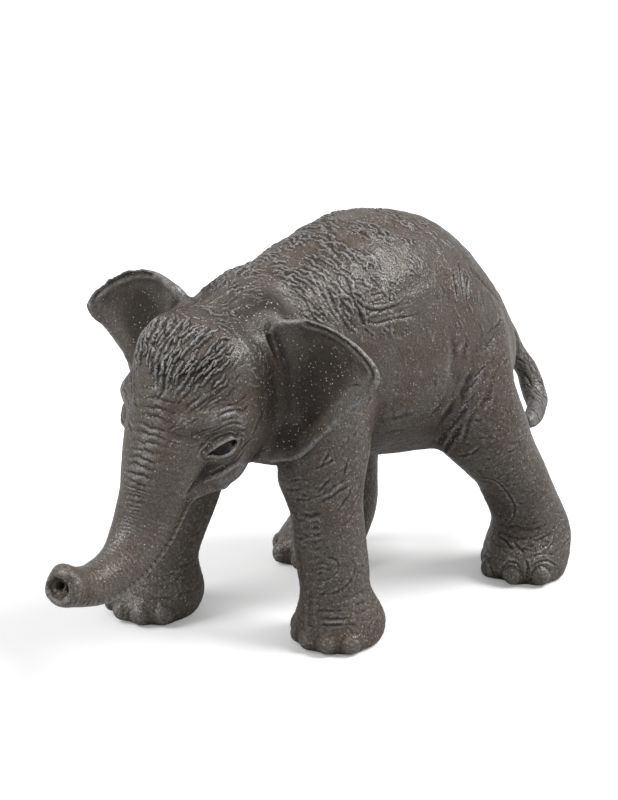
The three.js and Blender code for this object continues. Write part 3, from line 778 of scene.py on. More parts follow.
# Half width and depth in mm (a ridge where it is less than 0), whether the far side has it too, and its run
CREASES = (
    # shoulder pocket and the folds that leave it
    (0.3, 0.12, True, ((342, 270), (351, 291), (357, 304), (361, 318), (367, 331), (376, 337))),
    (0.26, -0.1, True, ((346, 274), (354, 293), (358, 300), (366, 305), (376, 307), (388, 305), (404, 299))),
    (0.28, 0.1, True, ((358, 303), (367, 309), (378, 311), (390, 308), (402, 303))),
    (0.24, -0.08, True, ((362, 319), (372, 315), (384, 307))),
    (0.28, 0.12, True, ((360, 319), (370, 322), (378, 323), (392, 319), (410, 316), (420, 313))),
    (0.22, 0.08, True, ((368, 298), (376, 294), (386, 295), (380, 300), (370, 302))),
    (0.22, 0.1, True, ((355, 283), (363, 285), (371, 290))),
    (0.22, -0.08, True, ((356, 278), (366, 279), (375, 285))),
    (0.28, 0.12, True, ((323, 277), (326, 285), (332, 299), (338, 313), (348, 329))),
    (0.24, 0.1, True, ((316, 283), (324, 297), (332, 313), (340, 325))),
    (0.22, 0.08, True, ((305, 279), (313, 292), (320, 306), (326, 318))),
    (0.22, -0.07, True, ((300, 284), (308, 298), (313, 312))),
    # short upright creases before the hip, and the long ones on the rump
    (0.3, 0.2, True, ((452, 268), (455, 282), (457, 297))),
    (0.3, 0.2, True, ((459, 264), (461, 280), (463, 298))),
    (0.28, 0.16, True, ((468, 276), (467, 288), (466, 300))),
    (0.6, 0.12, True, ((468, 266), (485, 284), (500, 302))),
    (0.5, 0.08, True, ((476, 262), (490, 276), (503, 292))),
    # flank folds before the thigh
    (0.8, 0.2, True, ((451, 335), (455, 352), (454, 370), (449, 392))),
    (0.75, 0.16, True, ((468, 338), (461, 362), (457, 382), (452, 400))),
    (0.7, 0.16, True, ((478, 364), (466, 386), (458, 408))),
    (0.6, 0.12, True, ((494, 375), (488, 396), (477, 412))),
    (0.45, 0.16, True, ((428, 420), (437, 410), (446, 396))),
    (0.5, 0.18, True, ((436, 428), (447, 414), (457, 398))),
    (0.45, 0.16, True, ((446, 432), (458, 420), (468, 404))),
    (0.4, -0.12, True, ((432, 424), (442, 412), (452, 398))),
    # belly and chest
    (0.5, 0.12, False, ((384, 420), (400, 418), (418, 412))),
    (0.5, 0.1, False, ((376, 436), (392, 432), (410, 428))),
    (0.35, 0.22, False, ((268, 474), (280, 480), (292, 482))),
    (0.35, 0.2, False, ((276, 492), (288, 496), (302, 496))),
    # cheek folds and lips
    (0.28, 0.15, True, ((247, 446), (239, 458), (228, 466), (213, 473), (204, 477))),
    (0.24, 0.13, True, ((259, 436), (249, 441), (235, 459), (217, 472), (205, 481))),
    (0.3, -0.08, True, ((246, 455), (236, 466), (221, 475), (207, 481))),
    (0.4, 0.1, True, ((265, 403), (260, 420), (252, 436))),
    # wrinkles over the eye and across the forehead
    (0.2, -0.11, True, ((217, 412), (225, 409), (237, 406))),
    (0.2, -0.12, True, ((219, 418), (229, 415), (242, 413))),
    (0.2, 0.12, True, ((214, 418), (224, 413), (236, 410), (242, 409))),
    (0.2, 0.1, True, ((216, 423), (228, 419), (240, 418))),
    (0.22, 0.13, True, ((211, 432), (220, 428), (232, 423), (243, 424))),
    (0.2, -0.1, True, ((224, 428), (234, 425), (244, 428), (249, 429))),
    (0.2, -0.09, True, ((183, 414), (196, 403), (205, 396), (214, 391))),
    (0.18, -0.08, True, ((201, 410), (211, 403), (220, 398), (229, 397))),
    (0.18, 0.09, True, ((188, 414), (200, 405), (210, 397), (222, 391))),
    (0.18, 0.07, True, ((205, 414), (216, 406), (230, 402))),
    (0.18, -0.07, True, ((213, 407), (223, 403), (234, 402))),
    (0.3, 0.3, False, ((166, 366), (164, 378), (163, 390), (158, 398))),
    # ear notch and the crease on its tip
    (0.34, 0.4, False, ((264, 326), (269, 338), (274, 351), (276, 358))),
    # left foreleg: slanting creases, then short ones down its front, and the lines round the knee
    (0.22, 0.13, False, ((337, 457), (326, 464), (314, 469))),
    (0.22, 0.12, False, ((329, 453), (325, 460), (321, 467))),
    (0.18, 0.1, False, ((349, 457), (346, 467), (343, 478))),
    (0.2, 0.13, False, ((330, 479), (324, 486), (317, 493))),
    (0.24, -0.1, False, ((359, 474), (341, 485), (329, 494), (315, 500))),
    (0.22, 0.1, False, ((360, 478), (343, 489), (330, 498), (314, 504))),
    (0.2, 0.08, False, ((355, 482), (347, 498), (335, 514))),
    (0.18, 0.08, False, ((361, 490), (355, 501), (348, 511))),
    (0.34, 0.16, False, ((300, 514), (309, 516), (319, 514))),
    (0.2, 0.1, False, ((287, 482), (298, 480), (312, 479))),
    (0.2, 0.1, False, ((287, 490), (296, 490), (306, 488))),
    (0.2, 0.12, False, ((290, 499), (302, 500), (315, 498))),
    (0.26, 0.1, False, ((308, 526), (314, 528), (321, 527))),
    (0.24, 0.09, False, ((310, 533), (316, 535), (322, 533))),
    (0.26, 0.1, False, ((308, 540), (315, 542), (321, 540))),
    (0.24, 0.08, False, ((310, 547), (316, 549), (322, 547))),
    (0.24, 0.08, False, ((297, 519), (301, 521), (306, 519))),
    (0.24, 0.07, False, ((296, 528), (300, 530), (305, 528))),
    (0.24, 0.09, False, ((296, 537), (300, 539), (305, 537))),
    (0.24, 0.07, False, ((298, 546), (302, 548), (307, 546))),
    (0.18, 0.07, False, ((304, 566), (310, 560), (321, 557), (334, 559), (339, 567), (333, 576), (321, 580),
                         (309, 576))),
    (0.18, 0.08, False, ((313, 565), (322, 563), (331, 565))),
    (0.18, 0.08, False, ((311, 570), (322, 568), (333, 570))),
    (0.18, 0.08, False, ((314, 575), (322, 573), (331, 575))),
    (0.24, 0.07, False, ((349, 556), (355, 566), (352, 578), (341, 590), (325, 594), (308, 590), (301, 578))),
    (0.55, 0.09, False, ((312, 590), (310, 604), (310, 620), (313, 638))),
    (0.22, 0.09, False, ((312, 610), (330, 611), (352, 609))),
    (0.22, 0.11, False, ((314, 618), (334, 619), (358, 617))),
    (0.22, 0.12, False, ((316, 625), (334, 625), (356, 624))),
    # left hind leg: the oval at its knee, and the curved folds over its foot
    (0.2, 0.12, False, ((472, 478), (485, 478), (497, 482), (505, 490), (512, 500), (515, 510), (512, 520),
                        (504, 529))),
    (0.2, -0.1, False, ((553, 532), (551, 542), (544, 549), (536, 553), (528, 553))),
    (0.18, -0.09, False, ((545, 534), (537, 538), (527, 539))),
    (0.18, -0.09, False, ((540, 546), (530, 548), (522, 546))),
    (0.24, 0.12, False, ((514, 541), (519, 548), (526, 554))),
    (0.3, 0.22, False, ((526, 560), (528, 569), (527, 579))),
    (0.24, 0.13, False, ((532, 567), (538, 562), (548, 561), (557, 566))),
    (0.22, -0.09, False, ((530, 560), (542, 556), (558, 557))),
    (0.24, 0.13, False, ((502, 567), (509, 562), (517, 564), (522, 573))),
    (0.2, 0.08, False, ((560, 549), (566, 542), (570, 536))),
    (0.22, 0.1, False, ((497, 535), (506, 541), (512, 550))),
    # dark grooves where the thigh meets the belly
    (0.4, 0.2, True, ((445, 430), (443, 438), (439, 445))),
    (0.4, 0.22, True, ((453, 437), (449, 445), (445, 452))),
    (0.5, 0.16, True, ((465, 419), (458, 431), (452, 443))),
    (0.4, 0.12, True, ((477, 408), (469, 422), (463, 442))),
    (0.3, 0.14, True, ((460, 456), (464, 456), (469, 454))),
    (0.3, 0.12, True, ((470, 455), (475, 452), (479, 448))),
    (0.22, 0.14, False, ((348, 386), (356, 385), (364, 386))),
)


CREASE_REACH, TAPER_POWER, END_WIDTH_SHARE = 3, 0.7, 0.55
LIP_SHARES = 0.3, 1.7, 0.8  # of a crease's depth, and of its width: how far off its lips are and how wide


def dense(path, step=0.25):
    """A smooth line through a path, with a point every step."""
    path = curve_through(path, 8 * len(path))
    run = np.concatenate([[0], np.cumsum(np.linalg.norm(np.diff(path, axis=0), axis=1))])
    at = np.linspace(0, run[-1], max(int(run[-1] / step), 4))
    return np.stack([np.interp(at, run, path[:, i]) for i in range(3)], 1)


def crease_relief(points, owner_of_point, tree):
    """How far the placed creases move each point along its normal."""
    relief = np.zeros(len(points))
    head = HIDE_NODES.index("head_and_trunk")
    for half, depth, both, run in CREASES:
        path = [found for found in (seen_at(tree, u, v) for u, v in run) if found is not None]
        if len(path) < 3:
            continue
        owner = owner_of_point[np.linalg.norm(points - path[0], axis=1).argmin()]
        lines = [dense(path)]
        if both:
            flip = [-1, 1, 1]
            others = [of_head(in_head(point) * flip) if owner == head else SHIFT + (point - SHIFT) * flip
                      for point in path]
            lines.append(dense([np.array(tree.find_nearest(Vector(other))[0]) for other in others]))
        for line in lines:
            reach = CREASE_REACH * half
            inside = ((points > line.min(0) - reach) & (points < line.max(0) + reach)).all(1)
            index = np.flatnonzero(inside)
            if not len(index):
                continue
            away = np.linalg.norm(points[index, None] - line[None], axis=2)
            near = away.argmin(1)
            away = away[np.arange(len(index)), near]
            taper = np.sin(math.pi * (near + 0.5) / len(line)) ** TAPER_POWER
            width = half * (END_WIDTH_SHARE + (1 - END_WIDTH_SHARE) * taper)
            lip = LIP_SHARES[0] * bell(away, LIP_SHARES[1] * width, LIP_SHARES[2] * width)
            relief[index] -= depth * taper * (bell(away, 0, width) - lip)
    return relief


# Relief that follows the body
def sawfold(phase):
    """Folds one unit apart, round on top and sharp between."""
    part = phase - np.floor(phase)
    return np.sin(math.pi * part ** 0.85) ** 0.6


# Round an eye's opening: height and what it gains above the eye, distance from the lids' edge and what
# that gains, and half width, in mm. A furrow's height is less than 0
LID_RIM = 0.11, 0.07, 0.34, 0.0, 0.26
LID_FOLDS = (-0.05, -0.05, 0.9, 0.2, 0.18), (0.03, 0.03, 1.3, 0.2, 0.22), (-0.06, 0.0, 1.75, 0.15, 0.16)
EYE_REACH, EYE_BEHIND, SOCKET_DEPTH = 7, -2.5, -1.0


def eye_relief(head_points, eyes):
    """How the lids round each eye move the skin, in the head's frame."""
    moves = np.zeros_like(head_points)
    for side in (1, -1):
        facing = np.array([side * math.sin(EYE_FACING), -math.cos(EYE_FACING), 0])
        rear = np.array([side * math.cos(EYE_FACING), math.sin(EYE_FACING), 0])
        off = head_points - np.array(EYE_SPOT) * [side, 1, 1]
        near = (np.linalg.norm(off, axis=1) < EYE_REACH) & (off @ facing > EYE_BEHIND)
        off = off[near]
        level, across = off[:, 2] - 0.1, off @ rear
        c, s = math.cos(eyes.tilt), math.sin(eyes.tilt)
        a = c * across + s * level
        b = c * level - s * across
        half = eyes.opening / MM / 2
        arch = np.clip(1 - (a / half) ** 2, 0, 1) ** (0.85 - 0.35 * smooth_step(-0.4, 1.0, a / half))
        arch *= 1 + 0.22 * a / half
        lid = np.where(b > 0, eyes.upper_lid, eyes.lower_lid) / MM
        gap = np.abs(b) - lid * arch
        gap = np.where(np.abs(a) > half, np.hypot(np.abs(a) - half, b), gap)
        above = smooth_step(-0.4, 0.6, b)
        fade = 1 - smooth_step(3.0, 4.6, np.abs(a - 0.2))
        height = SOCKET_DEPTH * smooth_step(0.06, -0.3, gap)
        broken = fade * (0.8 + 0.5 * noise(off / 0.9, 6.0))
        folds = (LID_RIM, fade), *((fold, broken) for fold in LID_FOLDS)
        for (low, more, start, farther, wide), share in folds:
            height += (low + more * above) * bell(gap, start + farther * above, wide) * share
        moves[near] += facing * height[:, None]
    return moves


FOLD_STEPS, FOLD_GAPS = (44, 84), (1.02, 0.76)  # path steps where they start and close up, and mm apart
NICK_DEPTH, NICK_GAP, NICK_ANGLE = 0.14, 0.85, (2.15, 0.3)


def trunk_relief(head_points, weight, depth):
    """Folds across the trunk, and nicks in its edges."""
    run, turn = trunk_line(head_points)
    side = np.where(turn > 0, 1.0, -1.0)
    warp = noise(np.stack([run / 2.3, np.abs(turn) * 1.3, side * 3], 1))
    finer = noise(np.stack([run / 0.9, turn * 2.5, side], 1), 7.3)
    # The folds are wide apart on the root and close on the lower trunk
    start, middle, end = TRUNK_RUN[[*FOLD_STEPS, -1]]
    counts = np.cumsum([0, (middle - start) / FOLD_GAPS[0], (end - middle) / FOLD_GAPS[1]])
    count = np.interp(run, [start, middle, end], counts)
    fold = sawfold(count + 0.5 * warp + 0.16 * finer + 0.35 * turn)
    wide = 1.8 * bell(turn, 0.0, 0.36) + 0.14 * (1 - smooth_step(1.0, 1.6, np.abs(turn)))
    lower = smooth_step(middle - 2, middle + 5, run)
    strength = np.maximum(wide * (1 - 0.72 * lower), 0.2 * lower * (1 - smooth_step(2.2, 2.7, np.abs(turn))))
    strength *= smooth_step(start - 3.5, start + 1.5, run) * (0.75 + 0.4 * noise(head_points / 2.6, 2.1))
    strength *= 1 - smooth_step(end - 1.6, end - 0.4, run)
    nicks = bell(np.abs(turn), *NICK_ANGLE) * sawfold(run / NICK_GAP + 0.8 * np.abs(turn)) * lower
    return weight * (depth * strength * (fold - 0.62) + NICK_DEPTH * nicks)


SHIN_FOLDS, SHIN_HEIGHTS = (0.1, 1.25), ((9, 12), (25, 31))  # depth and mm apart, and fades at both ends
ANKLE_GAP, ANKLE_HEIGHTS = 1.45, ((3.2, 4.6), (8.5, 11))
KNEE_SPOT, KNEE_WIDTHS, KNEE_RING_GAP = (1.9, 13.4), (1.1, 1.25), 1.1
NAIL_MIDDLE, NAIL_WIDTHS, NAIL_REACH = 1.75, (1.45, 1.55), -2.2
TOE_GROOVE_WIDTH, TOE_GROOVE_HEIGHTS = 0.75, (2.2, 4.2)
FOOT_DEPTHS = {  # of the ankle's folds, a nail's pad, the groove round it, and the grooves between the toes
    "fore": (0.07, 0.03, 0.05, 0.09),
    "hind": (0.12, 0.07, 0.1, 0.3),
}


def leg_relief(points, leg, weight):
    """Folds, knee rings, nails and toes of a leg, and where its nails are."""
    height, out, ahead = leg_line(points, leg)
    turn = np.arctan2(out, ahead)
    fore = "fore" in leg
    folds, pads, grooves, toes = FOOT_DEPTHS["fore" if fore else "hind"]
    warp = noise(np.stack([height / 3, turn * 1.2, turn * 0 + len(leg)], 1))
    dash = noise(np.stack([height / 1.1, turn * 2.6, turn * 0 + 3.7], 1))
    front = 1 - smooth_step(0.3, 1.0, np.abs(turn - (0.0 if fore else 0.5)))
    relief = np.zeros(len(points))
    # Folds across the front of the shin, broken into dashes
    band = smooth_step(*SHIN_HEIGHTS[0], height) * (1 - smooth_step(*SHIN_HEIGHTS[1], height))
    shin = sawfold(height / SHIN_FOLDS[1] + 0.5 * warp + 0.2 * turn)
    relief -= SHIN_FOLDS[0] * front * band * (1 - shin) * smooth_step(-0.1, 0.5, dash)
    # Folds round the ankle and over the foot
    low = smooth_step(*ANKLE_HEIGHTS[0], height) * (1 - smooth_step(*ANKLE_HEIGHTS[1], height))
    ankle = sawfold(height / ANKLE_GAP + 0.45 * warp - 0.35 * np.abs(turn))
    wide = 1 - smooth_step(1.6, 2.6, np.abs(turn))
    relief += folds * low * wide * (ankle - 0.7) * (0.6 + 0.8 * warp)
    # A flat disc with faint rings on a foreleg's knee
    if fore:
        across, up = (out - KNEE_SPOT[0]) / KNEE_WIDTHS[0], (height - KNEE_SPOT[1]) / KNEE_WIDTHS[1]
        ring = np.hypot(across, up) + 0.1 * warp
        disc = (1 - smooth_step(1.7, 2.7, ring)) * (ahead > 0)
        relief = relief * (1 - 0.8 * disc) + disc * (0.02 * np.cos(ring * 2 * math.pi / KNEE_RING_GAP) + 0.06)
    # Nails: an oval pad with a groove round it
    nail = np.zeros(len(points))
    for spot, facing in nail_spots(leg, NAIL_MIDDLE):
        off = points - spot
        across = off @ np.array([-facing[1], facing[0], 0])
        oval = np.hypot(across / NAIL_WIDTHS[0], off[:, 2] / NAIL_WIDTHS[1])
        here = (off @ facing > NAIL_REACH) & (oval < 2)
        pad = np.where(here, smooth_step(1.1, 0.7, oval), 0)
        groove = np.where(here, bell(oval, 1.2, 0.2), 0)
        relief += pads * pad - grooves * groove
        nail = np.maximum(nail, pad)
    # Deep grooves between the toes
    spots = [spot for spot, _ in nail_spots(leg, 2.0)]
    for a, b in zip(spots, spots[1:]):
        off = points - (a + b) / 2
        away = np.hypot(off[:, 0], off[:, 1])
        relief -= toes * bell(away, 0, TOE_GROOVE_WIDTH) * (1 - smooth_step(*TOE_GROOVE_HEIGHTS, height))
    return weight * relief, weight * nail


# Along an ear's edge: height and what it gains on the upper rim, distance from the edge and half width, in mm
EAR_RIMS = (0.01, 0.26, 0.3, 0.26), (-0.02, -0.26, 0.95, 0.36), (0.0, 0.13, 1.6, 0.34)
# Depth or strength of an ear's hollows and of its painted shade, and where each lies and its half width,
# outward and upward
EAR_DISH_HOLLOW, EAR_POCKET = (-0.55, (4.6, 2.6), (11.5, 5.5)), (-0.4, (2.6, 1.8), (3.4, 2.2))
EAR_DISH_SHADE, EAR_POCKET_SHADE = (1.0, (7.0, 4.4), (12.0, 7.0)), (1.0, (2.8, 2.2), (3.6, 2.8))
EAR_FAN_SPOT, EAR_FAN_DEPTH, EAR_FAN_FOLDS = (3.5, 9.5), 0.16, 9
# Strength and top of an ear's painted shade, and strength of the painted sheen near its rim
EAR_SHADE, EAR_SHADE_TOP, EAR_RIM_SHEEN = 2.1, 1.15, 0.8


def ear_relief(head_points, node, weight):
    """Rolled rim, folds and hollow of an ear, the painted shade in its dish and pocket, and a painted sheen
    near its rim.
    """
    out, high, edge, front = ear_line(head_points, node)

    def patch(strength, outward, upward):
        return strength * bell(out, *outward) * bell(high, *upward)

    upper = smooth_step(13.5, 16.5, high - 0.12 * out) * smooth_step(1.0, 4.0, out)
    ahead = smooth_step(-0.25, 0.35, front)
    rim = sum((low + more * upper) * bell(edge, start, wide) for low, more, start, wide in EAR_RIMS)
    inner = smooth_step(1.6, 3.5, edge)
    # Soft folds that fan out from the root, and the pocket below them
    fan = np.arctan2(high - EAR_FAN_SPOT[1], out + EAR_FAN_SPOT[0])
    folds = EAR_FAN_DEPTH * np.cos(fan * EAR_FAN_FOLDS + 0.8 * noise(head_points / 4))
    folds *= smooth_step(2.0, 5.0, out)
    folds *= 1 - smooth_step(8, 14, out)
    back = 0.12 * np.cos(high * 0.9 + noise(head_points / 3)) * (1 - ahead) * inner
    relief = ahead * (rim + inner * (folds + patch(*EAR_DISH_HOLLOW)) + patch(*EAR_POCKET)) + back
    # Painted shade in the dish and the pocket
    wash = ahead * inner * np.maximum(patch(*EAR_DISH_SHADE), patch(*EAR_POCKET_SHADE))
    # Painted sheen on the outer part of the ear near its rim, stored below zero
    rub_and_highlight = EAR_RIM_SHEEN * ahead * bell(edge, 1.9, 1.3) * smooth_step(7, 11, out)
    return weight * relief, weight * (np.clip(EAR_SHADE * wash, 0, EAR_SHADE_TOP) - rub_and_highlight)


# How far below level the body's strokes point at the neck, what that gains behind, and where it does so
STEEP_AHEAD, STEEPER_BEHIND, STEEP_ENDS = math.radians(14), math.radians(62), (0.16, 0.46)
STEEP_STRAY = math.radians(24)
FOREHEAD = 0.0, -17.5, -4.0  # the crown's locks point to it
FOREHEAD_ENDS = -6.8, -4.0  # between these they turn until they lie across the head


def flow_of(skin):
    """Which way the hair or the wrinkles run at each point."""
    points, head_points, normal = skin.points, skin.head_points, skin.normal

    def laid(way):
        return unit(way - np.einsum("ij,ij->i", way, normal)[:, None] * normal)

    # Body: along the spine at the neck, then more and more down the side
    down = -np.ones_like(points)
    down[:, 0], down[:, 1] = np.sign(points[:, 0] - SHIFT[0]), 0
    rearward = np.zeros_like(points)
    rearward[:, 1] = 1
    steep = STEEP_AHEAD + STEEPER_BEHIND * smooth_step(*STEEP_ENDS, skin.along + 0.16 * skin.around)
    steep += STEEP_STRAY * noise(points / 5.5, 5.0)
    body = np.cos(steep)[:, None] * laid(rearward) + np.sin(steep)[:, None] * laid(down)
    # Crown: from the top down towards the middle of the forehead
    fall = laid((np.array(FOREHEAD) - head_points) @ HEAD_AXES.T)
    across = laid(np.broadcast_to(HEAD_AXES[:, 0], points.shape))
    share = smooth_step(*FOREHEAD_ENDS, head_points[:, 1])[:, None]
    fall = unit(fall * (1 - share) + across * np.sign(np.einsum("ij,ij->i", across, fall))[:, None] * share)
    # Legs: round the leg
    up = np.array([0.0, 0.0, 1.0])
    level = np.cross(normal, up) + (0.9 * noise(points / 4, 9.0) - 0.4)[:, None] * up
    flow = np.where(skin.is_head[:, None] > 0.5, fall, body)
    return unit(np.where(skin.is_leg[:, None] > 0.5, laid(level), flow))


# Node trees
class Tree:
    """Short ways to build a node tree. Sockets go by identifier, name or number."""

    def __init__(self, tree):
        self.tree = tree

    @staticmethod
    def socket(sockets, name):
        if isinstance(name, int):
            return sockets[name]
        return next((s for s in sockets if s.identifier == name), None) or sockets[name]

    def add(self, kind, inputs=None, **settings):
        node = self.tree.nodes.new(kind)
        for name, value in settings.items():
            setattr(node, name, value)
        for name, value in (inputs or {}).items():
            socket = self.socket(node.inputs, name)
            if isinstance(value, bpy.types.NodeSocket):
                self.tree.links.new(value, socket)
            else:
                socket.default_value = value
        return node

    def math(self, operation, *values, clamp=False):
        inputs = dict(enumerate(values))
        return self.add("ShaderNodeMath", inputs, operation=operation, use_clamp=clamp).outputs[0]

    def vector(self, operation, *values, **named):
        inputs = {**dict(enumerate(values)), **named}
        return self.add("ShaderNodeVectorMath", inputs, operation=operation).outputs["Vector"]

    def attribute(self, name, kind="FLOAT"):
        node = self.add("GeometryNodeInputNamedAttribute", {"Name": name}, data_type=kind)
        return node.outputs["Attribute"]


STROKE_DENSITY, STROKE_SCALES, STRIP_WIDTH, STRIP_POINTS = 2.2, (0.6, 1.3), 0.06, 8
SWAY_WAVES, UNEVEN_WAVES = 760.0, 500.0  # to the metre
UNEVEN_RISE, END_WIDTH, ROUNDNESS = (1.6, 0.2), 0.3, 1.4


def carved_strokes_tree():
    """Scatters short wavy strokes over a skin along its flow, and raises the skin along them."""
    group = bpy.data.node_groups.new("Carved strokes", "GeometryNodeTree")
    face = group.interface
    face.new_socket("Geometry", in_out="INPUT", socket_type="NodeSocketGeometry")
    for name, kind in (("Cover", "String"), ("Spacing", "Float"), ("Length", "Float"), ("Width", "Float"),
                       ("Height", "Float"), ("Wave", "Float"), ("Seed", "Int"), ("Material", "Material")):
        face.new_socket(name, in_out="INPUT", socket_type=f"NodeSocket{kind}")
    face.new_socket("Geometry", in_out="OUTPUT", socket_type="NodeSocketGeometry")
    t = Tree(group)
    given = t.add("NodeGroupInput").outputs
    cover = t.attribute(given["Cover"])

    density = t.math("DIVIDE", STROKE_DENSITY, t.math("MULTIPLY", given["Spacing"], given["Spacing"]))
    spread = t.add("GeometryNodeDistributePointsOnFaces", {
        "Mesh": given["Geometry"], "Distance Min": given["Spacing"], "Density Max": density,
        "Density Factor": cover, "Seed": given["Seed"],
    }, distribute_method="POISSON")
    turn = t.add("FunctionNodeAxesToRotation", {
        "Primary Axis": spread.outputs["Normal"], "Secondary Axis": t.attribute("flow", "FLOAT_VECTOR"),
    }, primary_axis="Z", secondary_axis="X")
    strip = t.add("GeometryNodeMeshGrid", {
        "Size X": given["Length"], "Size Y": t.math("MULTIPLY", given["Width"], STRIP_WIDTH),
        "Vertices X": STRIP_POINTS, "Vertices Y": 2,
    })
    place = t.add("GeometryNodeInputPosition").outputs[0]
    across = t.add("ShaderNodeSeparateXYZ", {0: place}).outputs["X"]
    share = t.math("DIVIDE", across, given["Length"])
    twice = t.math("MULTIPLY", share, 2.0)
    taper = t.math("SUBTRACT", 1.0, t.math("MULTIPLY", twice, twice))
    tapered = t.add("GeometryNodeStoreNamedAttribute", {
        "Geometry": strip.outputs["Mesh"], "Name": "taper", "Value": taper,
    }, data_type="FLOAT", domain="POINT")
    scale = t.add("FunctionNodeRandomValue", {
        "Min_001": STROKE_SCALES[0], "Max_001": STROKE_SCALES[1], "Seed": given["Seed"]}, data_type="FLOAT")
    strewn = t.add("GeometryNodeInstanceOnPoints", {
        "Points": spread.outputs["Points"], "Instance": tapered.outputs["Geometry"],
        "Rotation": turn.outputs[0], "Scale": t.socket(scale.outputs, "Value_001"),
    })
    marks = t.add("GeometryNodeRealizeInstances", {"Geometry": strewn.outputs["Instances"]}).outputs[0]
    grain = t.add("ShaderNodeTexNoise", {
        "Vector": t.add("GeometryNodeInputPosition").outputs[0], "Scale": SWAY_WAVES, "Detail": 1.0,
    }, noise_dimensions="3D").outputs["Color"]
    sway = t.vector("SCALE", t.vector("SUBTRACT", grain, (0.5, 0.5, 0.5)),
                    Scale=t.math("MULTIPLY", given["Wave"], given["Length"]))
    waved = t.add("GeometryNodeSetPosition", {"Geometry": marks, "Offset": sway}).outputs[0]
    snap = t.add("GeometryNodeProximity", {"Target": given["Geometry"]}, target_element="FACES")
    laid = t.add("GeometryNodeSetPosition", {
        "Geometry": waved, "Position": snap.outputs["Position"]}).outputs[0]

    near = t.add("GeometryNodeProximity", {"Target": laid}, target_element="FACES")
    lift = t.add("GeometryNodeSampleNearestSurface", {
        "Mesh": laid, "Value": t.attribute("taper")}, data_type="FLOAT").outputs["Value"]
    lift = t.math("MAXIMUM", lift, 0.0)
    wide = t.math("MULTIPLY_ADD", t.math("SQRT", lift), 1 - END_WIDTH, END_WIDTH)
    half = t.math("MULTIPLY", given["Width"], wide)
    away = t.math("DIVIDE", near.outputs["Distance"], half, clamp=True)
    round_top = t.math("POWER", t.math("SUBTRACT", 1.0, t.math("MULTIPLY", away, away)), ROUNDNESS)
    uneven = t.add("ShaderNodeTexNoise", {
        "Vector": t.add("GeometryNodeInputPosition").outputs[0], "Scale": UNEVEN_WAVES, "Detail": 0.0,
    }, noise_dimensions="3D").outputs[0]
    rise = t.math("MULTIPLY", t.math("MULTIPLY", round_top, given["Height"]),
                  t.math("MULTIPLY", t.math("MULTIPLY_ADD", uneven, *UNEVEN_RISE), cover))
    normal = t.add("GeometryNodeInputNormal").outputs[0]
    raised = t.add("GeometryNodeSetPosition", {
        "Geometry": given["Geometry"], "Offset": t.vector("SCALE", normal, Scale=rise)}).outputs[0]
    whole = t.add("GeometryNodeRealizeInstances", {"Geometry": raised}).outputs[0]
    finished = t.add("GeometryNodeSetMaterial", {"Geometry": whole, "Material": given["Material"]}).outputs[0]
    t.add("NodeGroupOutput", {"Geometry": finished})
    return group


def stroked(points, triangles, flow, covers, relief, material):
    """The skin with its locks, strokes and fine creases raised or cut by the node tree."""
    mesh = mesh_of("skin", points, triangles)
    store(mesh, "flow", flow, "FLOAT_VECTOR")
    for name, cover in covers.items():
        store(mesh, name, cover, "FLOAT")
    skin = bpy.data.objects.new("skin", mesh)
    bpy.context.scene.collection.objects.link(skin)
    group = carved_strokes_tree()
    kinds = {
        "locks": (relief.lock_spacing, relief.lock_length, relief.lock_width,
                  relief.lock_height, relief.lock_wave),
        "strokes": (relief.stroke_spacing, relief.stroke_length, relief.stroke_width,
                    relief.stroke_height, relief.stroke_wave),
        "creases": (relief.crease_spacing, relief.crease_length, relief.crease_width,
                    -relief.crease_depth, relief.crease_wave),
    }
    sockets = {item.name: item.identifier for item in group.interface.items_tree if item.in_out == "INPUT"}
    for number, (name, (spacing, long, wide, high, wave)) in enumerate(kinds.items()):
        modifier = skin.modifiers.new(name, "NODES")
        modifier.node_group = group
        for socket, value in (("Cover", name), ("Spacing", spacing), ("Length", long), ("Width", wide),
                              ("Height", high), ("Wave", wave), ("Seed", relief.seed + number),
                              ("Material", material)):
            modifier[sockets[socket]] = value
    depsgraph = bpy.context.evaluated_depsgraph_get()
    made = bpy.data.meshes.new_from_object(skin.evaluated_get(depsgraph))
    found = np.empty(len(made.vertices) * 3, np.float32)
    made.vertices.foreach_get("co", found)
    bpy.data.objects.remove(skin)
    for spent in (mesh, made):
        bpy.data.meshes.remove(spent)
    return found.reshape(-1, 3).astype(float) / MM


# Blender meshes
def mesh_of(name, points, triangles):
    mesh = bpy.data.meshes.new(name)
    mesh.vertices.add(len(points))
    mesh.vertices.foreach_set("co", (points * MM).astype(np.float32).ravel())
    mesh.loops.add(triangles.size)
    mesh.loops.foreach_set("vertex_index", triangles.astype(np.int32).ravel())
    mesh.polygons.add(len(triangles))
    mesh.polygons.foreach_set("loop_start", np.arange(0, triangles.size, 3, dtype=np.int32))
    mesh.polygons.foreach_set("use_smooth", np.ones(len(triangles), bool))
    mesh.update(calc_edges=True)
    mesh.validate()
    return mesh


def store(mesh, name, values, kind):
    layer = mesh.attributes.new(name, kind, "POINT")
    key = "vector" if kind == "FLOAT_VECTOR" else "value"
    layer.data.foreach_set(key, np.asarray(values, np.float32).ravel())


# The whole hide. Measures are in mm, and a fade says where it starts and where it ends
HIDE = {}
NODE_FADE = 0.0, 1.6  # how much farther off than the nearest node a node still has its relief
SWELLS = (0.13, 3.4, 1.0), (0.06, 1.7, 3.0)  # height, size, and a number of its own for the pattern
ROUGHNESS = (0.035, 0.8, 12.0), (0.03, 0.45, 14.0)
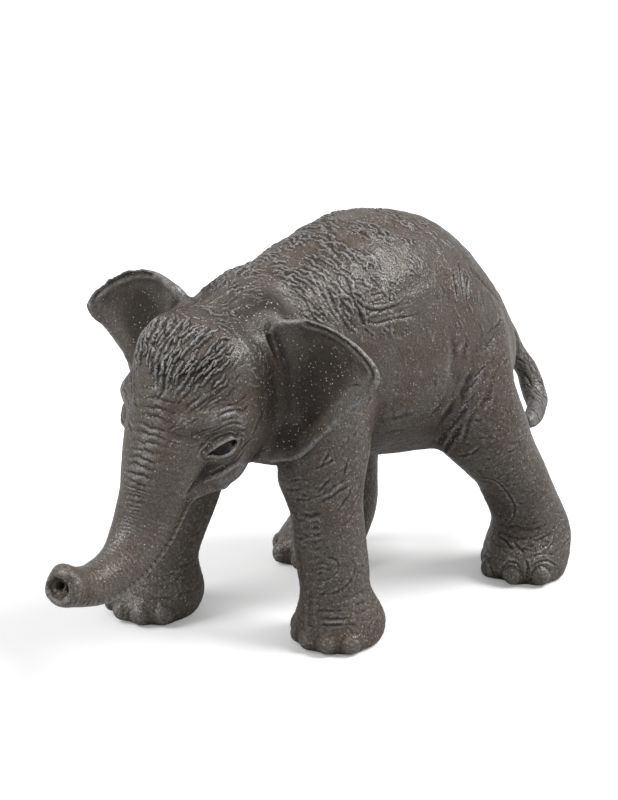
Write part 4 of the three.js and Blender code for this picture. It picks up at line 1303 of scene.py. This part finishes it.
# Painted shade: under the belly, on the nape, at the near ear's root, behind a knee and in the trunk's tip
BELLY_FADE = 1.7, 2.4  # radians round the body from the spine
NAPE_SHADE = (268, 314), 0.6, (2.5, 6.5)  # pixel of the photograph, strength, and fade round it
EAR_ROOT_SHADE = (260, 318), 0.7, (1.6, 4.4)
KNEE_SHADE = (494, 504), 0.55, (2.4, 3.6)
TIP_SHADE, TIP_SHADE_AHEAD, TIP_SHADE_FADE = 0.9, 0.3, (1.4, 2.1)
RIM_PASSES, RIM_SHARE = 4, 0.6
CAD_MARGIN = 0.01
FINE_PASSES, BROAD_PASSES = 5, 18
USUAL_EDGE, EDGE_CLIP, EDGE_POWER = 0.22, (0.6, 2.0), 1.3
# Depths in mm at which a hollow gets its full painted shade and a ridge its full painted highlight
FINE_DEPTH, BROAD_DEPTH = 0.07, 0.3  # painted in full
# Share by which the ears and the back of the head get less painted highlight and rub
LESS_RUB_AND_HIGHLIGHT = 0.8


class Skin:
    """The refined skin, with what its relief and its paint are laid out by."""

    def __init__(self, points, triangles, near, tree):
        self.points, self.tree = points, tree
        self.nearest = near.argmin(1)
        off = near - near.min(1)[:, None]
        self.weight = {node: 1 - smooth_step(*NODE_FADE, off[:, i]) for i, node in enumerate(HIDE_NODES)}
        self.is_head = self.weight["head_and_trunk"]
        self.is_leg = np.max([self.weight[leg] for leg in LEGS], axis=0)
        self.is_ear = np.max([self.weight[ear] for ear in EARS], axis=0)
        self.head_points = in_head(points)
        self.normal = normals_of(points, triangles)
        self.along, self.around = torso_line(points)


def carved_hide():
    """The figure's one skin, made on first use: its points, triangles, owners, normals and paint."""
    if HIDE:
        return HIDE
    settings = bpy.context.scene
    block, body, fields = sculpted(settings.calf_form)
    points, triangles = largest_shell(*block.skin_of(body))
    points = relaxed(points, edges_of(triangles), 4)
    near = np.stack([block.sampled(fields[node], points) for node in HIDE_NODES], 1)
    owner = owners_of(points, triangles, near)
    points = pulled(points, near.argmin(1))
    tree = BVHTree.FromPolygons(points.tolist(), triangles.tolist())
    for level in range(2):
        marked = needs_detail(points[triangles].mean(1), owner, level)
        points, triangles, near, owner = refined(points, triangles, marked, near, owner)
    edges = edges_of(triangles)
    skin = Skin(relaxed(points, edges, 1), triangles, near, tree)

    relief, wash, nail = skin_relief(skin, settings.calf_relief.fold_depth / MM)
    moved = skin.points + skin.normal * relief[:, None]
    moved += eye_relief(skin.head_points, settings.calf_eyes) @ HEAD_AXES.T
    material = hide_material(settings.calf_finish)
    covers = stroke_covers(skin)
    moved = stroked(moved, triangles, flow_of(skin), covers, settings.calf_relief, material)
    # Even out the ears' thin rims
    for _ in range(RIM_PASSES):
        moved += (averaged(moved, edges) - moved) * (RIM_SHARE * skin.is_ear)[:, None]
    moved = np.clip(moved, np.array(CAD_LOW) / MM + CAD_MARGIN, np.array(CAD_HIGH) / MM - CAD_MARGIN)

    # fine and broad lay out the painted shade in creases and hollows and the painted highlight on ridges
    normal = normals_of(moved, triangles)
    fine, broad = standing_out(moved, normal, edges)
    # Less painted highlight and rub on the ears and the back of the head
    rear = smooth_step(-6, -3, skin.head_points[:, 1]) * skin.is_head
    pale = (1 - LESS_RUB_AND_HIGHLIGHT * skin.is_ear) * (1 - LESS_RUB_AND_HIGHLIGHT * rear)
    HIDE.update(
        points=moved, triangles=triangles, owner=owner, normal=normal, material=material,
        fine=fine, broad=np.clip(broad, -1, pale), wash=wash + placed_wash(skin), nail=nail)
    return HIDE


def skin_relief(skin, fold_depth):
    """How far the relief moves each point, the painted shade and painted sheen in the ears, and where the
    nails are.
    """
    points, head_points, weight = skin.points, skin.head_points, skin.weight
    relief = crease_relief(points, skin.nearest, skin.tree)
    wash, nail = np.zeros(len(points)), np.zeros(len(points))
    here = skin.is_head > 0
    relief[here] += trunk_relief(head_points[here], skin.is_head[here], fold_depth)
    for leg in LEGS:
        here = weight[leg] > 0
        bumps, nails = leg_relief(points[here], leg, weight[leg][here])
        relief[here] += bumps
        nail[here] = np.maximum(nail[here], nails)
    for ear in EARS:
        here = weight[ear] > 0
        bumps, dark = ear_relief(head_points[here], ear, weight[ear][here])
        relief[here] += bumps
        wash[here] += dark
    # Soft swells under the strokes, and rough skin on the legs and the belly
    swell = layered(points, SWELLS) * weight["torso"] * (1 - smooth_step(0.35, 0.8, skin.is_head))
    relief += swell * (1 - smooth_step(0.9, 1.5, skin.around))
    rough = np.maximum(skin.is_leg, weight["torso"] * smooth_step(1.2, 1.6, skin.around))
    relief += rough * (1 - skin.is_ear) * layered(points, ROUGHNESS)
    return relief, wash, nail


def layered(points, layers):
    """Noises of several sizes, one on the other."""
    return sum(height * noise(points / size, pattern) for height, size, pattern in layers)


def placed_wash(skin):
    """Painted shade in the trunk's tip, behind the ears, under the belly, and at listed pixels of the
    camera's view.
    """

    def patch(pixel, strength, fade):
        away = np.linalg.norm(skin.points - seen_at(skin.tree, *pixel), axis=1)
        return strength * (1 - smooth_step(*fade, away))

    # Painted shade in the trunk's tip
    off = skin.head_points - TRUNK_PATH[-1, :3] - TIP_SHADE_AHEAD * TRUNK_AHEAD[-1]
    wash = TIP_SHADE * (1 - smooth_step(*TIP_SHADE_FADE, np.linalg.norm(off, axis=1)))
    # Painted shade behind the ears, on the back of the head
    side, back, high = np.abs(skin.head_points[:, 0]), skin.head_points[:, 1], skin.head_points[:, 2]
    behind = smooth_step(-6, -3, back) * smooth_step(-4, 1, high) * (1 - smooth_step(4, 8, back))
    wash += behind * (1 - skin.is_ear) * (0.3 + 0.7 * smooth_step(2, 6, side))
    # Patches of painted shade on the nape, at the near ear's root and behind a knee
    wash += patch(*NAPE_SHADE) * (1 - skin.is_ear) + patch(*EAR_ROOT_SHADE) * skin.is_ear + patch(*KNEE_SHADE)
    return wash + 0.35 * skin.weight["torso"] * smooth_step(*BELLY_FADE, skin.around)


def stroke_covers(skin):
    """How thickly the locks, the strokes and the fine creases stand at each point."""
    points, head, around, is_head = skin.points, skin.head_points, skin.around, skin.is_head
    torso, not_ear, side = skin.weight["torso"], 1 - skin.is_ear, np.abs(skin.head_points[:, 0])
    crown = smooth_step(4.2, 6.6, head[:, 2] + 1.2 * noise(head / 2.2, 4.0))
    crown *= (1 - smooth_step(-7.4, -4.2, head[:, 1])) * is_head * not_ear
    crown *= 1 - smooth_step(7.0, 9.0, side)
    # The back and the nape, thinner behind, and with a smooth patch on the flank
    smooth_patch = bell(skin.along, 0.55, 0.1) * bell(around, 1.12, 0.3)
    upper = 1 - smooth_step(1.15, 1.75, around + 0.25 * noise(points / 4, 8.0))
    ahead = 0.6 + 0.4 * smooth_step(0.08, 0.24, skin.along)
    upper *= (1 - 0.75 * smooth_step(0.55, 0.8, skin.along)) * ahead
    upper *= 0.3 + 0.7 * smooth_step(-0.35, 0.25, noise(points / 4, 6.0))
    back = torso * (1 - is_head) * (1 - skin.is_leg) * not_ear * upper * (1 - 0.9 * smooth_patch)
    brow = smooth_step(2.3, 3.2, np.linalg.norm(np.column_stack([side, head[:, 1:]]) - EYE_SPOT, axis=1))
    brow *= smooth_step(-5.5, -2.0, head[:, 2])
    brow *= smooth_step(2.2, 4.0, side) * (1 - smooth_step(-6.5, -3.5, head[:, 1]))
    nape = smooth_step(-7.0, -4.5, head[:, 1]) * (0.25 + 0.25 * smooth_step(3.0, 6.0, head[:, 2]))
    back += is_head * not_ear * (1 - crown) * np.maximum(nape, 0.25 * brow)
    # Fine creases wherever the strokes are thin
    creased = 0.3 * torso * (1 - back) * (1 - 0.7 * smooth_patch) + 0.26 * skin.is_leg
    creased += 0.9 * skin.weight["tail"] + 0.5 * brow * is_head * (1 - crown)
    broken = smooth_step(-0.2, 0.2, noise(points / 3, 2.0))
    creased += 0.25 * torso * smooth_step(1.35, 1.8, around) * broken
    creased *= not_ear * smooth_step(2.8, 4.6, points[:, 2])
    return {"locks": crown, "strokes": back, "creases": np.clip(creased, 0, 1)}


def standing_out(points, normal, edges):
    """How far each point stands out (less than 0 where it is hollow) at a fine and at a broad scale."""
    smooth = points
    for _ in range(FINE_PASSES):
        smooth = averaged(smooth, edges)
    ends = np.concatenate([edges[:, 0], edges[:, 1]])
    apart = np.linalg.norm(points[edges[:, 0]] - points[edges[:, 1]], axis=1)
    apart = np.bincount(ends, np.tile(apart, 2), len(points)) / np.bincount(ends, minlength=len(points))
    fine = np.einsum("ij,ij->i", points - smooth, normal)
    fine /= np.clip(apart / USUAL_EDGE, *EDGE_CLIP) ** EDGE_POWER
    for _ in range(BROAD_PASSES):
        smooth = averaged(smooth, edges)
    broad = np.einsum("ij,ij->i", points - smooth, normal)
    return np.clip(fine / FINE_DEPTH, -1, 1), broad / BROAD_DEPTH


# Plain parts: radians round the body from the spine, what that gains before the rump, and shares along it
PLAIN_BELLY, PLAIN_RUMP, PLAIN_ENDS = 1.25, (0.4, 0.78, 0.15), (0.07, 0.93)
PLAIN_POLL, PLAIN_THROAT = 0.6, (-4, -1.6)  # mm back and up in the head's frame
FINE_EYE, FINE_TIP, FINE_CROWN = 3.5, 3.2, (8.5, -4.6, 4.8)
FINE_FOOT = 0.25, 4.2


def needs_detail(middle, owner, level):
    """Which triangles are quartered at the first or the second level."""
    is_torso = owner == HIDE_NODES.index("torso")
    is_head = owner == HIDE_NODES.index("head_and_trunk")
    side, back, high = in_head(middle).T
    side = np.abs(side)
    if level == 0:
        along, around = torso_line(middle)
        swell, swell_along, swell_wide = PLAIN_RUMP
        plain = around > PLAIN_BELLY + swell * bell(along, swell_along, swell_wide)
        plain = is_torso & (plain | (along < PLAIN_ENDS[0]) | (along > PLAIN_ENDS[1]))
        throat = (back > PLAIN_THROAT[0]) & (high < PLAIN_THROAT[1])
        return ~(plain | (is_head & ((back > PLAIN_POLL) | throat)))
    is_leg = np.isin(owner, [HIDE_NODES.index(leg) for leg in LEGS])
    eye = np.linalg.norm(np.stack([side, back, high], 1) - EYE_SPOT, axis=1) < FINE_EYE
    tip = back < TRUNK_PATH[-1, 1] + FINE_TIP
    crown = (side < FINE_CROWN[0]) & (back < FINE_CROWN[1]) & (high > FINE_CROWN[2])
    foot = (middle[:, 2] > FINE_FOOT[0]) & (middle[:, 2] < FINE_FOOT[1])
    return (is_head & (eye | tip | crown)) | (is_leg & foot)


def make_piece(name, node, slot="skin_plastic"):
    """Cuts a node's share out of the hide, closes it inside and hands it to the frame."""
    hide = carved_hide()
    own = hide["triangles"][hide["owner"] == HIDE_NODES.index(node)]
    used, triangles = np.unique(own, return_inverse=True)
    triangles = triangles.reshape(-1, 3)
    points, normal = hide["points"][used], hide["normal"][used]
    paint = {key: hide[key][used] for key in ("fine", "broad", "wash", "nail")}
    # Close each open edge with a fan to a point inside
    count = len(points)
    ends = triangles[:, [[0, 1], [1, 2], [2, 0]]].reshape(-1, 2)
    rim = ends[~np.isin(ends[:, 0] * count + ends[:, 1], ends[:, 1] * count + ends[:, 0])]
    if len(rim):
        loop = connected(count, rim)[rim[:, 0]]
        names, which = np.unique(loop, return_inverse=True)
        middles = summed(which, points[rim[:, 0]], len(names)) / np.bincount(which)[:, None]
        points = np.vstack([points, middles])
        normal = np.vstack([normal, np.tile([0.0, 0.0, 1.0], (len(names), 1))])
        paint = {key: np.concatenate([value, np.zeros(len(names))]) for key, value in paint.items()}
        triangles = np.vstack([triangles, np.stack([rim[:, 1], rim[:, 0], count + which], 1)])
    mesh = mesh_of(name, points, triangles)
    for key, value in paint.items():
        store(mesh, key, value, "FLOAT")
    mesh.normals_split_custom_set_from_vertices(normal.tolist())
    mesh.materials.append(hide["material"])
    return place(name, mesh, slot, node)


def place(name, mesh, slot, *nodes):
    piece = bpy.data.objects.new(name, mesh)
    bpy.context.scene.collection.objects.link(piece)
    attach(piece, "root")
    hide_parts(*nodes)
    return piece


# Finishes
# Waves or cells to the metre and levels of detail of the finish's patterns
MOTTLE, BROKEN_RUB_AND_HIGHLIGHT, SAND, SPECK_PATCHES = (150.0, 3.0), (900.0, 2.0), (3600.0, 2.0), (260.0, 2.0)
PORES, WIDE_PORES, SPECK_CELLS = (2400.0, 2.0), (700.0, 2.0), 1800.0
# Strengths and tone of the painted shade in hollows and creases, of the painted highlight and rub on ridges
# and swells, of the nails' paint, and of the specks of dust and painted glints
SHADE_TONE, SHADE_STRENGTH, CREASE_STRENGTH, RUB_AND_HIGHLIGHT_STRENGTH = 0.34, 0.85, 0.95, 0.85
BROAD_RUB_AND_HIGHLIGHT, NAIL_RUB, DUST_AND_GLINT_STRENGTH, SHADE_ROUGHNESS = 0.3, 0.25, 0.95, 0.3
PORE_DEPTH, HIDE_IOR = 0.00014, 1.48


def hide_material(finish):
    """Dark satin plastic: painted shade in the hollows, painted shade and dark wash in the creases, painted
    highlight and pale rub on the ridges, fine pale specks of dust and painted glints.
    """
    material = bpy.data.materials.new("calf_hide")
    material.use_nodes = True
    t = Tree(material.node_tree)
    shader = material.node_tree.nodes["Principled BSDF"]
    place = t.add("ShaderNodeTexCoord").outputs["Object"]

    def grain(scale, detail):
        return t.add("ShaderNodeTexNoise", {"Vector": place, "Scale": scale, "Detail": detail}).outputs[0]

    def paint(name):
        return t.add("ShaderNodeAttribute", attribute_name=name, attribute_type="GEOMETRY").outputs["Fac"]

    def fit(value, low, high, to_low=0.0, to_high=1.0):
        return t.add("ShaderNodeMapRange", {
            "Value": value, "From Min": low, "From Max": high, "To Min": to_low, "To Max": to_high,
        }).outputs[0]

    def mix(share, a, b):
        node = t.add("ShaderNodeMix", {"Factor_Float": share, "A_Color": a, "B_Color": b}, data_type="RGBA")
        return t.socket(node.outputs, "Result_Color")

    def tone(value):
        return (*value, 1.0)

    fine, broad = paint("fine"), paint("broad")
    mottle = grain(*MOTTLE)
    colour = mix(fit(mottle, 0.4, 0.62), tone(finish.hide), tone(finish.brown_and_shade))
    # Painted shade: a darker brown in broad hollows and wherever the painted shade attribute is above zero
    hollow = t.math("MAXIMUM", fit(broad, -0.05, -0.75), paint("wash"))
    dark = tone([SHADE_TONE * c for c in finish.brown_and_shade])
    colour = mix(t.math("MULTIPLY", hollow, SHADE_STRENGTH), colour, dark)
    # Painted sheen where the painted shade attribute is below zero, on the ears' outer parts
    colour = mix(fit(paint("wash"), 0.0, -1.0, 0.0, 0.3), colour, tone(finish.ridge))
    # Painted highlight and rub on broad swells
    colour = mix(t.math("MULTIPLY", fit(broad, 0.15, 1.0), BROAD_RUB_AND_HIGHLIGHT), colour, tone(finish.ridge))
    # Painted shade and dark wash in the fine creases
    colour = mix(t.math("MULTIPLY", fit(fine, -0.05, -0.55), CREASE_STRENGTH), colour, tone(finish.crease))
    # Painted highlight and pale rub on fine ridges, broken up, and less within the painted shade
    rub_and_highlight = t.math("MULTIPLY", fit(fine, 0.14, 0.8), fit(grain(*BROKEN_RUB_AND_HIGHLIGHT), 0.3, 0.6))
    rub_and_highlight = t.math("MULTIPLY", rub_and_highlight, fit(paint("wash"), 0.2, 1.0, 1.0, 0.35))
    colour = mix(t.math("MULTIPLY", rub_and_highlight, RUB_AND_HIGHLIGHT_STRENGTH), colour, tone(finish.ridge))
    colour = mix(t.math("MULTIPLY", paint("nail"), NAIL_RUB), colour, tone(finish.nail))
    sand = grain(*SAND)
    colour = mix(fit(sand, 0.36, 0.56, 0.5, 0.0), colour, tone(finish.crease))
    colour = mix(fit(sand, 0.56, 0.74, 0.0, 0.13), colour, tone(finish.ridge))
    # Pale specks of dust and painted glints, thicker in the hollows
    cells = t.add("ShaderNodeTexVoronoi", {"Vector": place, "Scale": SPECK_CELLS}).outputs
    dust_and_glint = t.math("MULTIPLY", fit(cells["Distance"], 0.24, 0.1), fit(cells["Color"], 0.24, 0.5))
    patches = fit(grain(*SPECK_PATCHES), 0.38, 0.6, 0.25, 1.0)
    dust_and_glint = t.math("MULTIPLY", dust_and_glint, t.math("MAXIMUM", patches, hollow))
    colour = mix(t.math("MULTIPLY", dust_and_glint, DUST_AND_GLINT_STRENGTH), colour, tone(finish.dust_and_glint))
    rough = t.math("ADD", fit(mottle, 0.35, 0.65, 0.25, 0.38), t.math("MULTIPLY", hollow, SHADE_ROUGHNESS))
    links = material.node_tree.links
    links.new(colour, shader.inputs["Base Color"])
    links.new(rough, shader.inputs["Roughness"])
    pores = t.math("ADD", grain(*PORES), t.math("MULTIPLY", grain(*WIDE_PORES), 0.8))
    bump = t.add("ShaderNodeBump", {"Height": pores, "Strength": 1.0, "Distance": PORE_DEPTH})
    links.new(bump.outputs["Normal"], shader.inputs["Normal"])
    shader.inputs["IOR"].default_value = HIDE_IOR
    return material


def eye_material(finish):
    """Glossy dark brown bead with a black pupil and a thin dark rim round the iris."""
    material = bpy.data.materials.new("calf_eye")
    material.use_nodes = True
    t = Tree(material.node_tree)
    shader = material.node_tree.nodes["Principled BSDF"]
    gaze = t.add("ShaderNodeAttribute", attribute_name="gaze", attribute_type="GEOMETRY").outputs["Fac"]
    place = t.add("ShaderNodeTexCoord").outputs["Object"]
    fibre = t.add("ShaderNodeTexNoise", {"Vector": place, "Scale": 2500.0, "Detail": 2.0}).outputs[0]
    ramp = t.add("ShaderNodeValToRGB", {0: t.math("MULTIPLY_ADD", fibre, 0.03, gaze)})
    stops = ramp.color_ramp.elements
    white = (0.045, 0.04, 0.036, 1)
    tones = ((0.0, white), (0.66, white), (0.7, (0.01, 0.008, 0.007, 1)), (0.76, (*finish.eye, 1)),
             (0.93, (*[0.6 * c for c in finish.eye], 1)), (0.955, (0.003, 0.003, 0.003, 1)))
    while len(stops) < len(tones):
        stops.new(0.5)
    for stop, (at, tone) in zip(stops, tones):
        stop.position, stop.color = at, tone
    material.node_tree.links.new(ramp.outputs["Color"], shader.inputs["Base Color"])
    shader.inputs["Roughness"].default_value = 0.12
    shader.inputs["Specular IOR Level"].default_value = 0.25
    shader.inputs["Coat Weight"].default_value = 0.1
    shader.inputs["Coat Roughness"].default_value = 0.05
    return material


FLOOR_LEVEL = -0.00002  # m, so that the floor doesn't cross the soles
FLOOR_BOUNCE, FLOOR_GLOW = 0.45, 0.2  # share of its tone that lights the figure, and its glow to the camera


def floor_material(tone):
    """White to the camera wherever it is fully lit. It keeps its shadows."""
    material = bpy.data.materials.new("floor")
    material.use_nodes = True
    t = Tree(material.node_tree)
    shader = material.node_tree.nodes["Principled BSDF"]
    shader.inputs["Roughness"].default_value = 0.9
    shader.inputs["Specular IOR Level"].default_value = 0.1
    shader.inputs["Emission Color"].default_value = (1, 1, 1, 1)
    seen = t.add("ShaderNodeLightPath").outputs["Is Camera Ray"]
    dim = [FLOOR_BOUNCE * c for c in tone]
    colour = t.add("ShaderNodeMix", {
        "Factor_Float": seen, "A_Color": (*dim, 1), "B_Color": (*tone, 1)}, data_type="RGBA")
    t.tree.links.new(t.socket(colour.outputs, "Result_Color"), shader.inputs["Base Color"])
    t.tree.links.new(t.math("MULTIPLY", seen, FLOOR_GLOW), shader.inputs["Emission Strength"])
    return material


# Operators
class MakeTorso(bpy.types.Operator):
    """Carve the body with its strokes, pocket folds and flank creases"""
    bl_idname = "calf.make_torso"
    bl_label = "Torso"

    def execute(self, context):
        make_piece("calf_torso", "torso")
        return {"FINISHED"}


class MakeHead(bpy.types.Operator):
    """Carve the head and trunk with crown locks, lids, cheek folds and trunk rings"""
    bl_idname = "calf.make_head"
    bl_label = "Head and trunk"

    def execute(self, context):
        make_piece("calf_head", "head_and_trunk")
        return {"FINISHED"}


class MakeEars(bpy.types.Operator):
    """Carve both ears with their rolled rims"""
    bl_idname = "calf.make_ears"
    bl_label = "Ears"

    def execute(self, context):
        for ear in EARS:
            make_piece(f"calf_{ear}", ear)
        return {"FINISHED"}


class MakeLegs(bpy.types.Operator):
    """Carve the four legs with their knee rings, ankle folds, toes and nails"""
    bl_idname = "calf.make_legs"
    bl_label = "Legs"

    def execute(self, context):
        for leg in LEGS:
            make_piece(f"calf_{leg}", leg)
        return {"FINISHED"}


class MakeTail(bpy.types.Operator):
    """Carve the tail with its tuft"""
    bl_idname = "calf.make_tail"
    bl_label = "Tail"

    def execute(self, context):
        make_piece("calf_tail", "tail")
        return {"FINISHED"}


GAZE_DROP, BEAD_SINK = 0.12, 0.46  # how far down an eye faces, and how deep in mm its bead is set
BEAD_SWELL, BEAD_SWELL_ANGLE = 0.03, 0.5  # a share of its radius, and radians


class MakeEyes(bpy.types.Operator):
    """Set a glossy bead behind the lids of each eye"""
    bl_idname = "calf.make_eyes"
    bl_label = "Eyes"

    def execute(self, context):
        radius = context.scene.calf_eyes.bead / MM
        material = eye_material(context.scene.calf_finish)
        for name, side in (("left_eye", 1), ("right_eye", -1)):
            facing = np.array([side * math.sin(EYE_FACING), -math.cos(EYE_FACING), -GAZE_DROP])
            centre = of_head(np.array(EYE_SPOT) * [side, 1, 1] - BEAD_SINK * facing)
            axis = unit(HEAD_AXES @ facing)
            across = unit(np.cross(axis, [0.0, 0.0, 1.0]))
            points, triangles, gaze = bead(centre, axis, across, np.cross(across, axis), radius)
            mesh = mesh_of(f"calf_{name}", points, triangles)
            store(mesh, "gaze", gaze, "FLOAT")
            mesh.materials.append(material)
            place(f"calf_{name}", mesh, "eye_gloss", name)
        return {"FINISHED"}


def bead(centre, axis, across, up, radius, rows=40, sides=56):
    """A ball with a slight swell ahead. Gaze is 1 at its front and 0 from its equator back."""
    angle = math.pi * np.arange(1, rows) / rows
    turn = 2 * math.pi * np.arange(sides) / sides
    ring = np.cos(turn)[:, None] * across + np.sin(turn)[:, None] * up
    way = np.cos(angle)[:, None, None] * axis + np.sin(angle)[:, None, None] * ring
    swell = 1 + BEAD_SWELL * np.exp(-((angle / BEAD_SWELL_ANGLE) ** 2))
    middle = (way * (swell * radius)[:, None, None]).reshape(-1, 3)
    points = centre + np.vstack([axis * radius * (1 + BEAD_SWELL), middle, -axis * radius])
    gaze = np.concatenate([[1.0], np.repeat(np.maximum(np.cos(angle), 0), sides), [0.0]])
    i = np.arange(sides)
    j = (i + 1) % sides
    last = len(points) - 1
    front = np.stack([0 * i, 1 + i, 1 + j], 1)
    faces = [front, np.stack([0 * i + last, last - sides + j, last - sides + i], 1)]
    for row in range(rows - 2):
        a, b = 1 + row * sides + i, 1 + row * sides + j
        faces += [np.stack([a, a + sides, b + sides], 1), np.stack([a, b + sides, b], 1)]
    triangles = np.vstack(faces)
    a, b, c = (points[triangles[:, k]] - centre for k in range(3))
    if np.einsum("ij,ij->i", a, np.cross(b, c)).sum() < 0:
        triangles = triangles[:, ::-1]
    return points, np.ascontiguousarray(triangles), gaze


# Name, strength, width in degrees and the way towards each soft sun
SUNS = ("key", 2.45, 26, (0.46, 0.4, 0.76)), ("front", 1.6, 34, (-0.45, -0.62, 0.75))
SKY_LIGHT = 0.48  # of the white sky that the camera sees


class MakeStage(bpy.types.Operator):
    """Lay a pale floor under soft studio light and set the camera"""
    bl_idname = "calf.make_stage"
    bl_label = "Stage"

    def execute(self, context):
        scene, stage = context.scene, context.scene.calf_stage
        mesh = bpy.data.meshes.new("floor")
        half = stage.floor_size / 2
        ends = (-half, -half), (half, -half), (half, half), (-half, half)
        mesh.from_pydata([(x, y, FLOOR_LEVEL) for x, y in ends], [], [(0, 1, 2, 3)])
        mesh.materials.append(floor_material(stage.floor))
        floor = bpy.data.objects.new("floor", mesh)
        scene.collection.objects.link(floor)

        world = bpy.data.worlds.new("studio")
        scene.world = world
        world.use_nodes = True
        t = Tree(world.node_tree)
        backdrop = world.node_tree.nodes["Background"]
        seen = t.add("ShaderNodeLightPath").outputs["Is Camera Ray"]
        t.tree.links.new(t.math("MAXIMUM", seen, SKY_LIGHT), backdrop.inputs["Strength"])
        backdrop.inputs["Color"].default_value = (1, 1, 1, 1)
        for name, strength, width, toward in SUNS:
            light = bpy.data.lights.new(name, "SUN")
            light.energy = strength
            light.angle = math.radians(width)
            lamp = bpy.data.objects.new(name, light)
            scene.collection.objects.link(lamp)
            lamp.rotation_euler = Vector(toward).to_track_quat("Z", "Y").to_euler()

        camera = bpy.data.cameras.new("camera")
        camera.sensor_width = VIEW_SENSOR
        camera.lens = VIEW_LENS
        view = bpy.data.objects.new("camera", camera)
        scene.collection.objects.link(view)
        back = Vector(VIEW_BACK)
        view.location = Vector(VIEW_TARGET) * MM + back * stage.camera_distance
        view.rotation_euler = back.to_track_quat("Z", "Y").to_euler()
        camera.shift_x = (VIEW_SIZE[0] / 2 - VIEW_MIDDLE[0]) / max(VIEW_SIZE)
        camera.shift_y = (VIEW_MIDDLE[1] - VIEW_SIZE[1] / 2) / max(VIEW_SIZE)
        scene.camera = view
        scene.view_settings.view_transform = "Standard"
        return {"FINISHED"}


OPERATORS = (MakeTorso, MakeHead, MakeEars, MakeLegs, MakeTail, MakeEyes, MakeStage)


class CalfPanel(bpy.types.Panel):
    """Lists the figure's pieces and settings"""
    bl_idname = "VIEW3D_PT_calf_figure"
    bl_label = "Elephant Calf Figure"
    bl_space_type = "VIEW_3D"
    bl_region_type = "UI"
    bl_category = "Calf"

    def draw(self, context):
        for operator in OPERATORS:
            self.layout.operator(operator.bl_idname)
        for name in GROUPS:
            box = self.layout.box()
            group = getattr(context.scene, name)
            for setting in group.bl_rna.properties.keys():
                if setting not in {"rna_type", "name"}:
                    box.prop(group, setting)


def register():
    for kind in (*GROUPS.values(), *OPERATORS, CalfPanel):
        bpy.utils.register_class(kind)
    for name, kind in GROUPS.items():
        setattr(bpy.types.Scene, name, PointerProperty(type=kind))


def unregister():
    for name in GROUPS:
        delattr(bpy.types.Scene, name)
    for kind in (CalfPanel, *reversed(OPERATORS), *reversed(GROUPS.values())):
        bpy.utils.unregister_class(kind)


def main():
    register()
    bpy.ops.calf.make_torso()
    bpy.ops.calf.make_head()
    bpy.ops.calf.make_ears()
    bpy.ops.calf.make_legs()
    bpy.ops.calf.make_tail()
    bpy.ops.calf.make_eyes()
    bpy.ops.calf.make_stage()


if __name__ == "__main__":
    main()
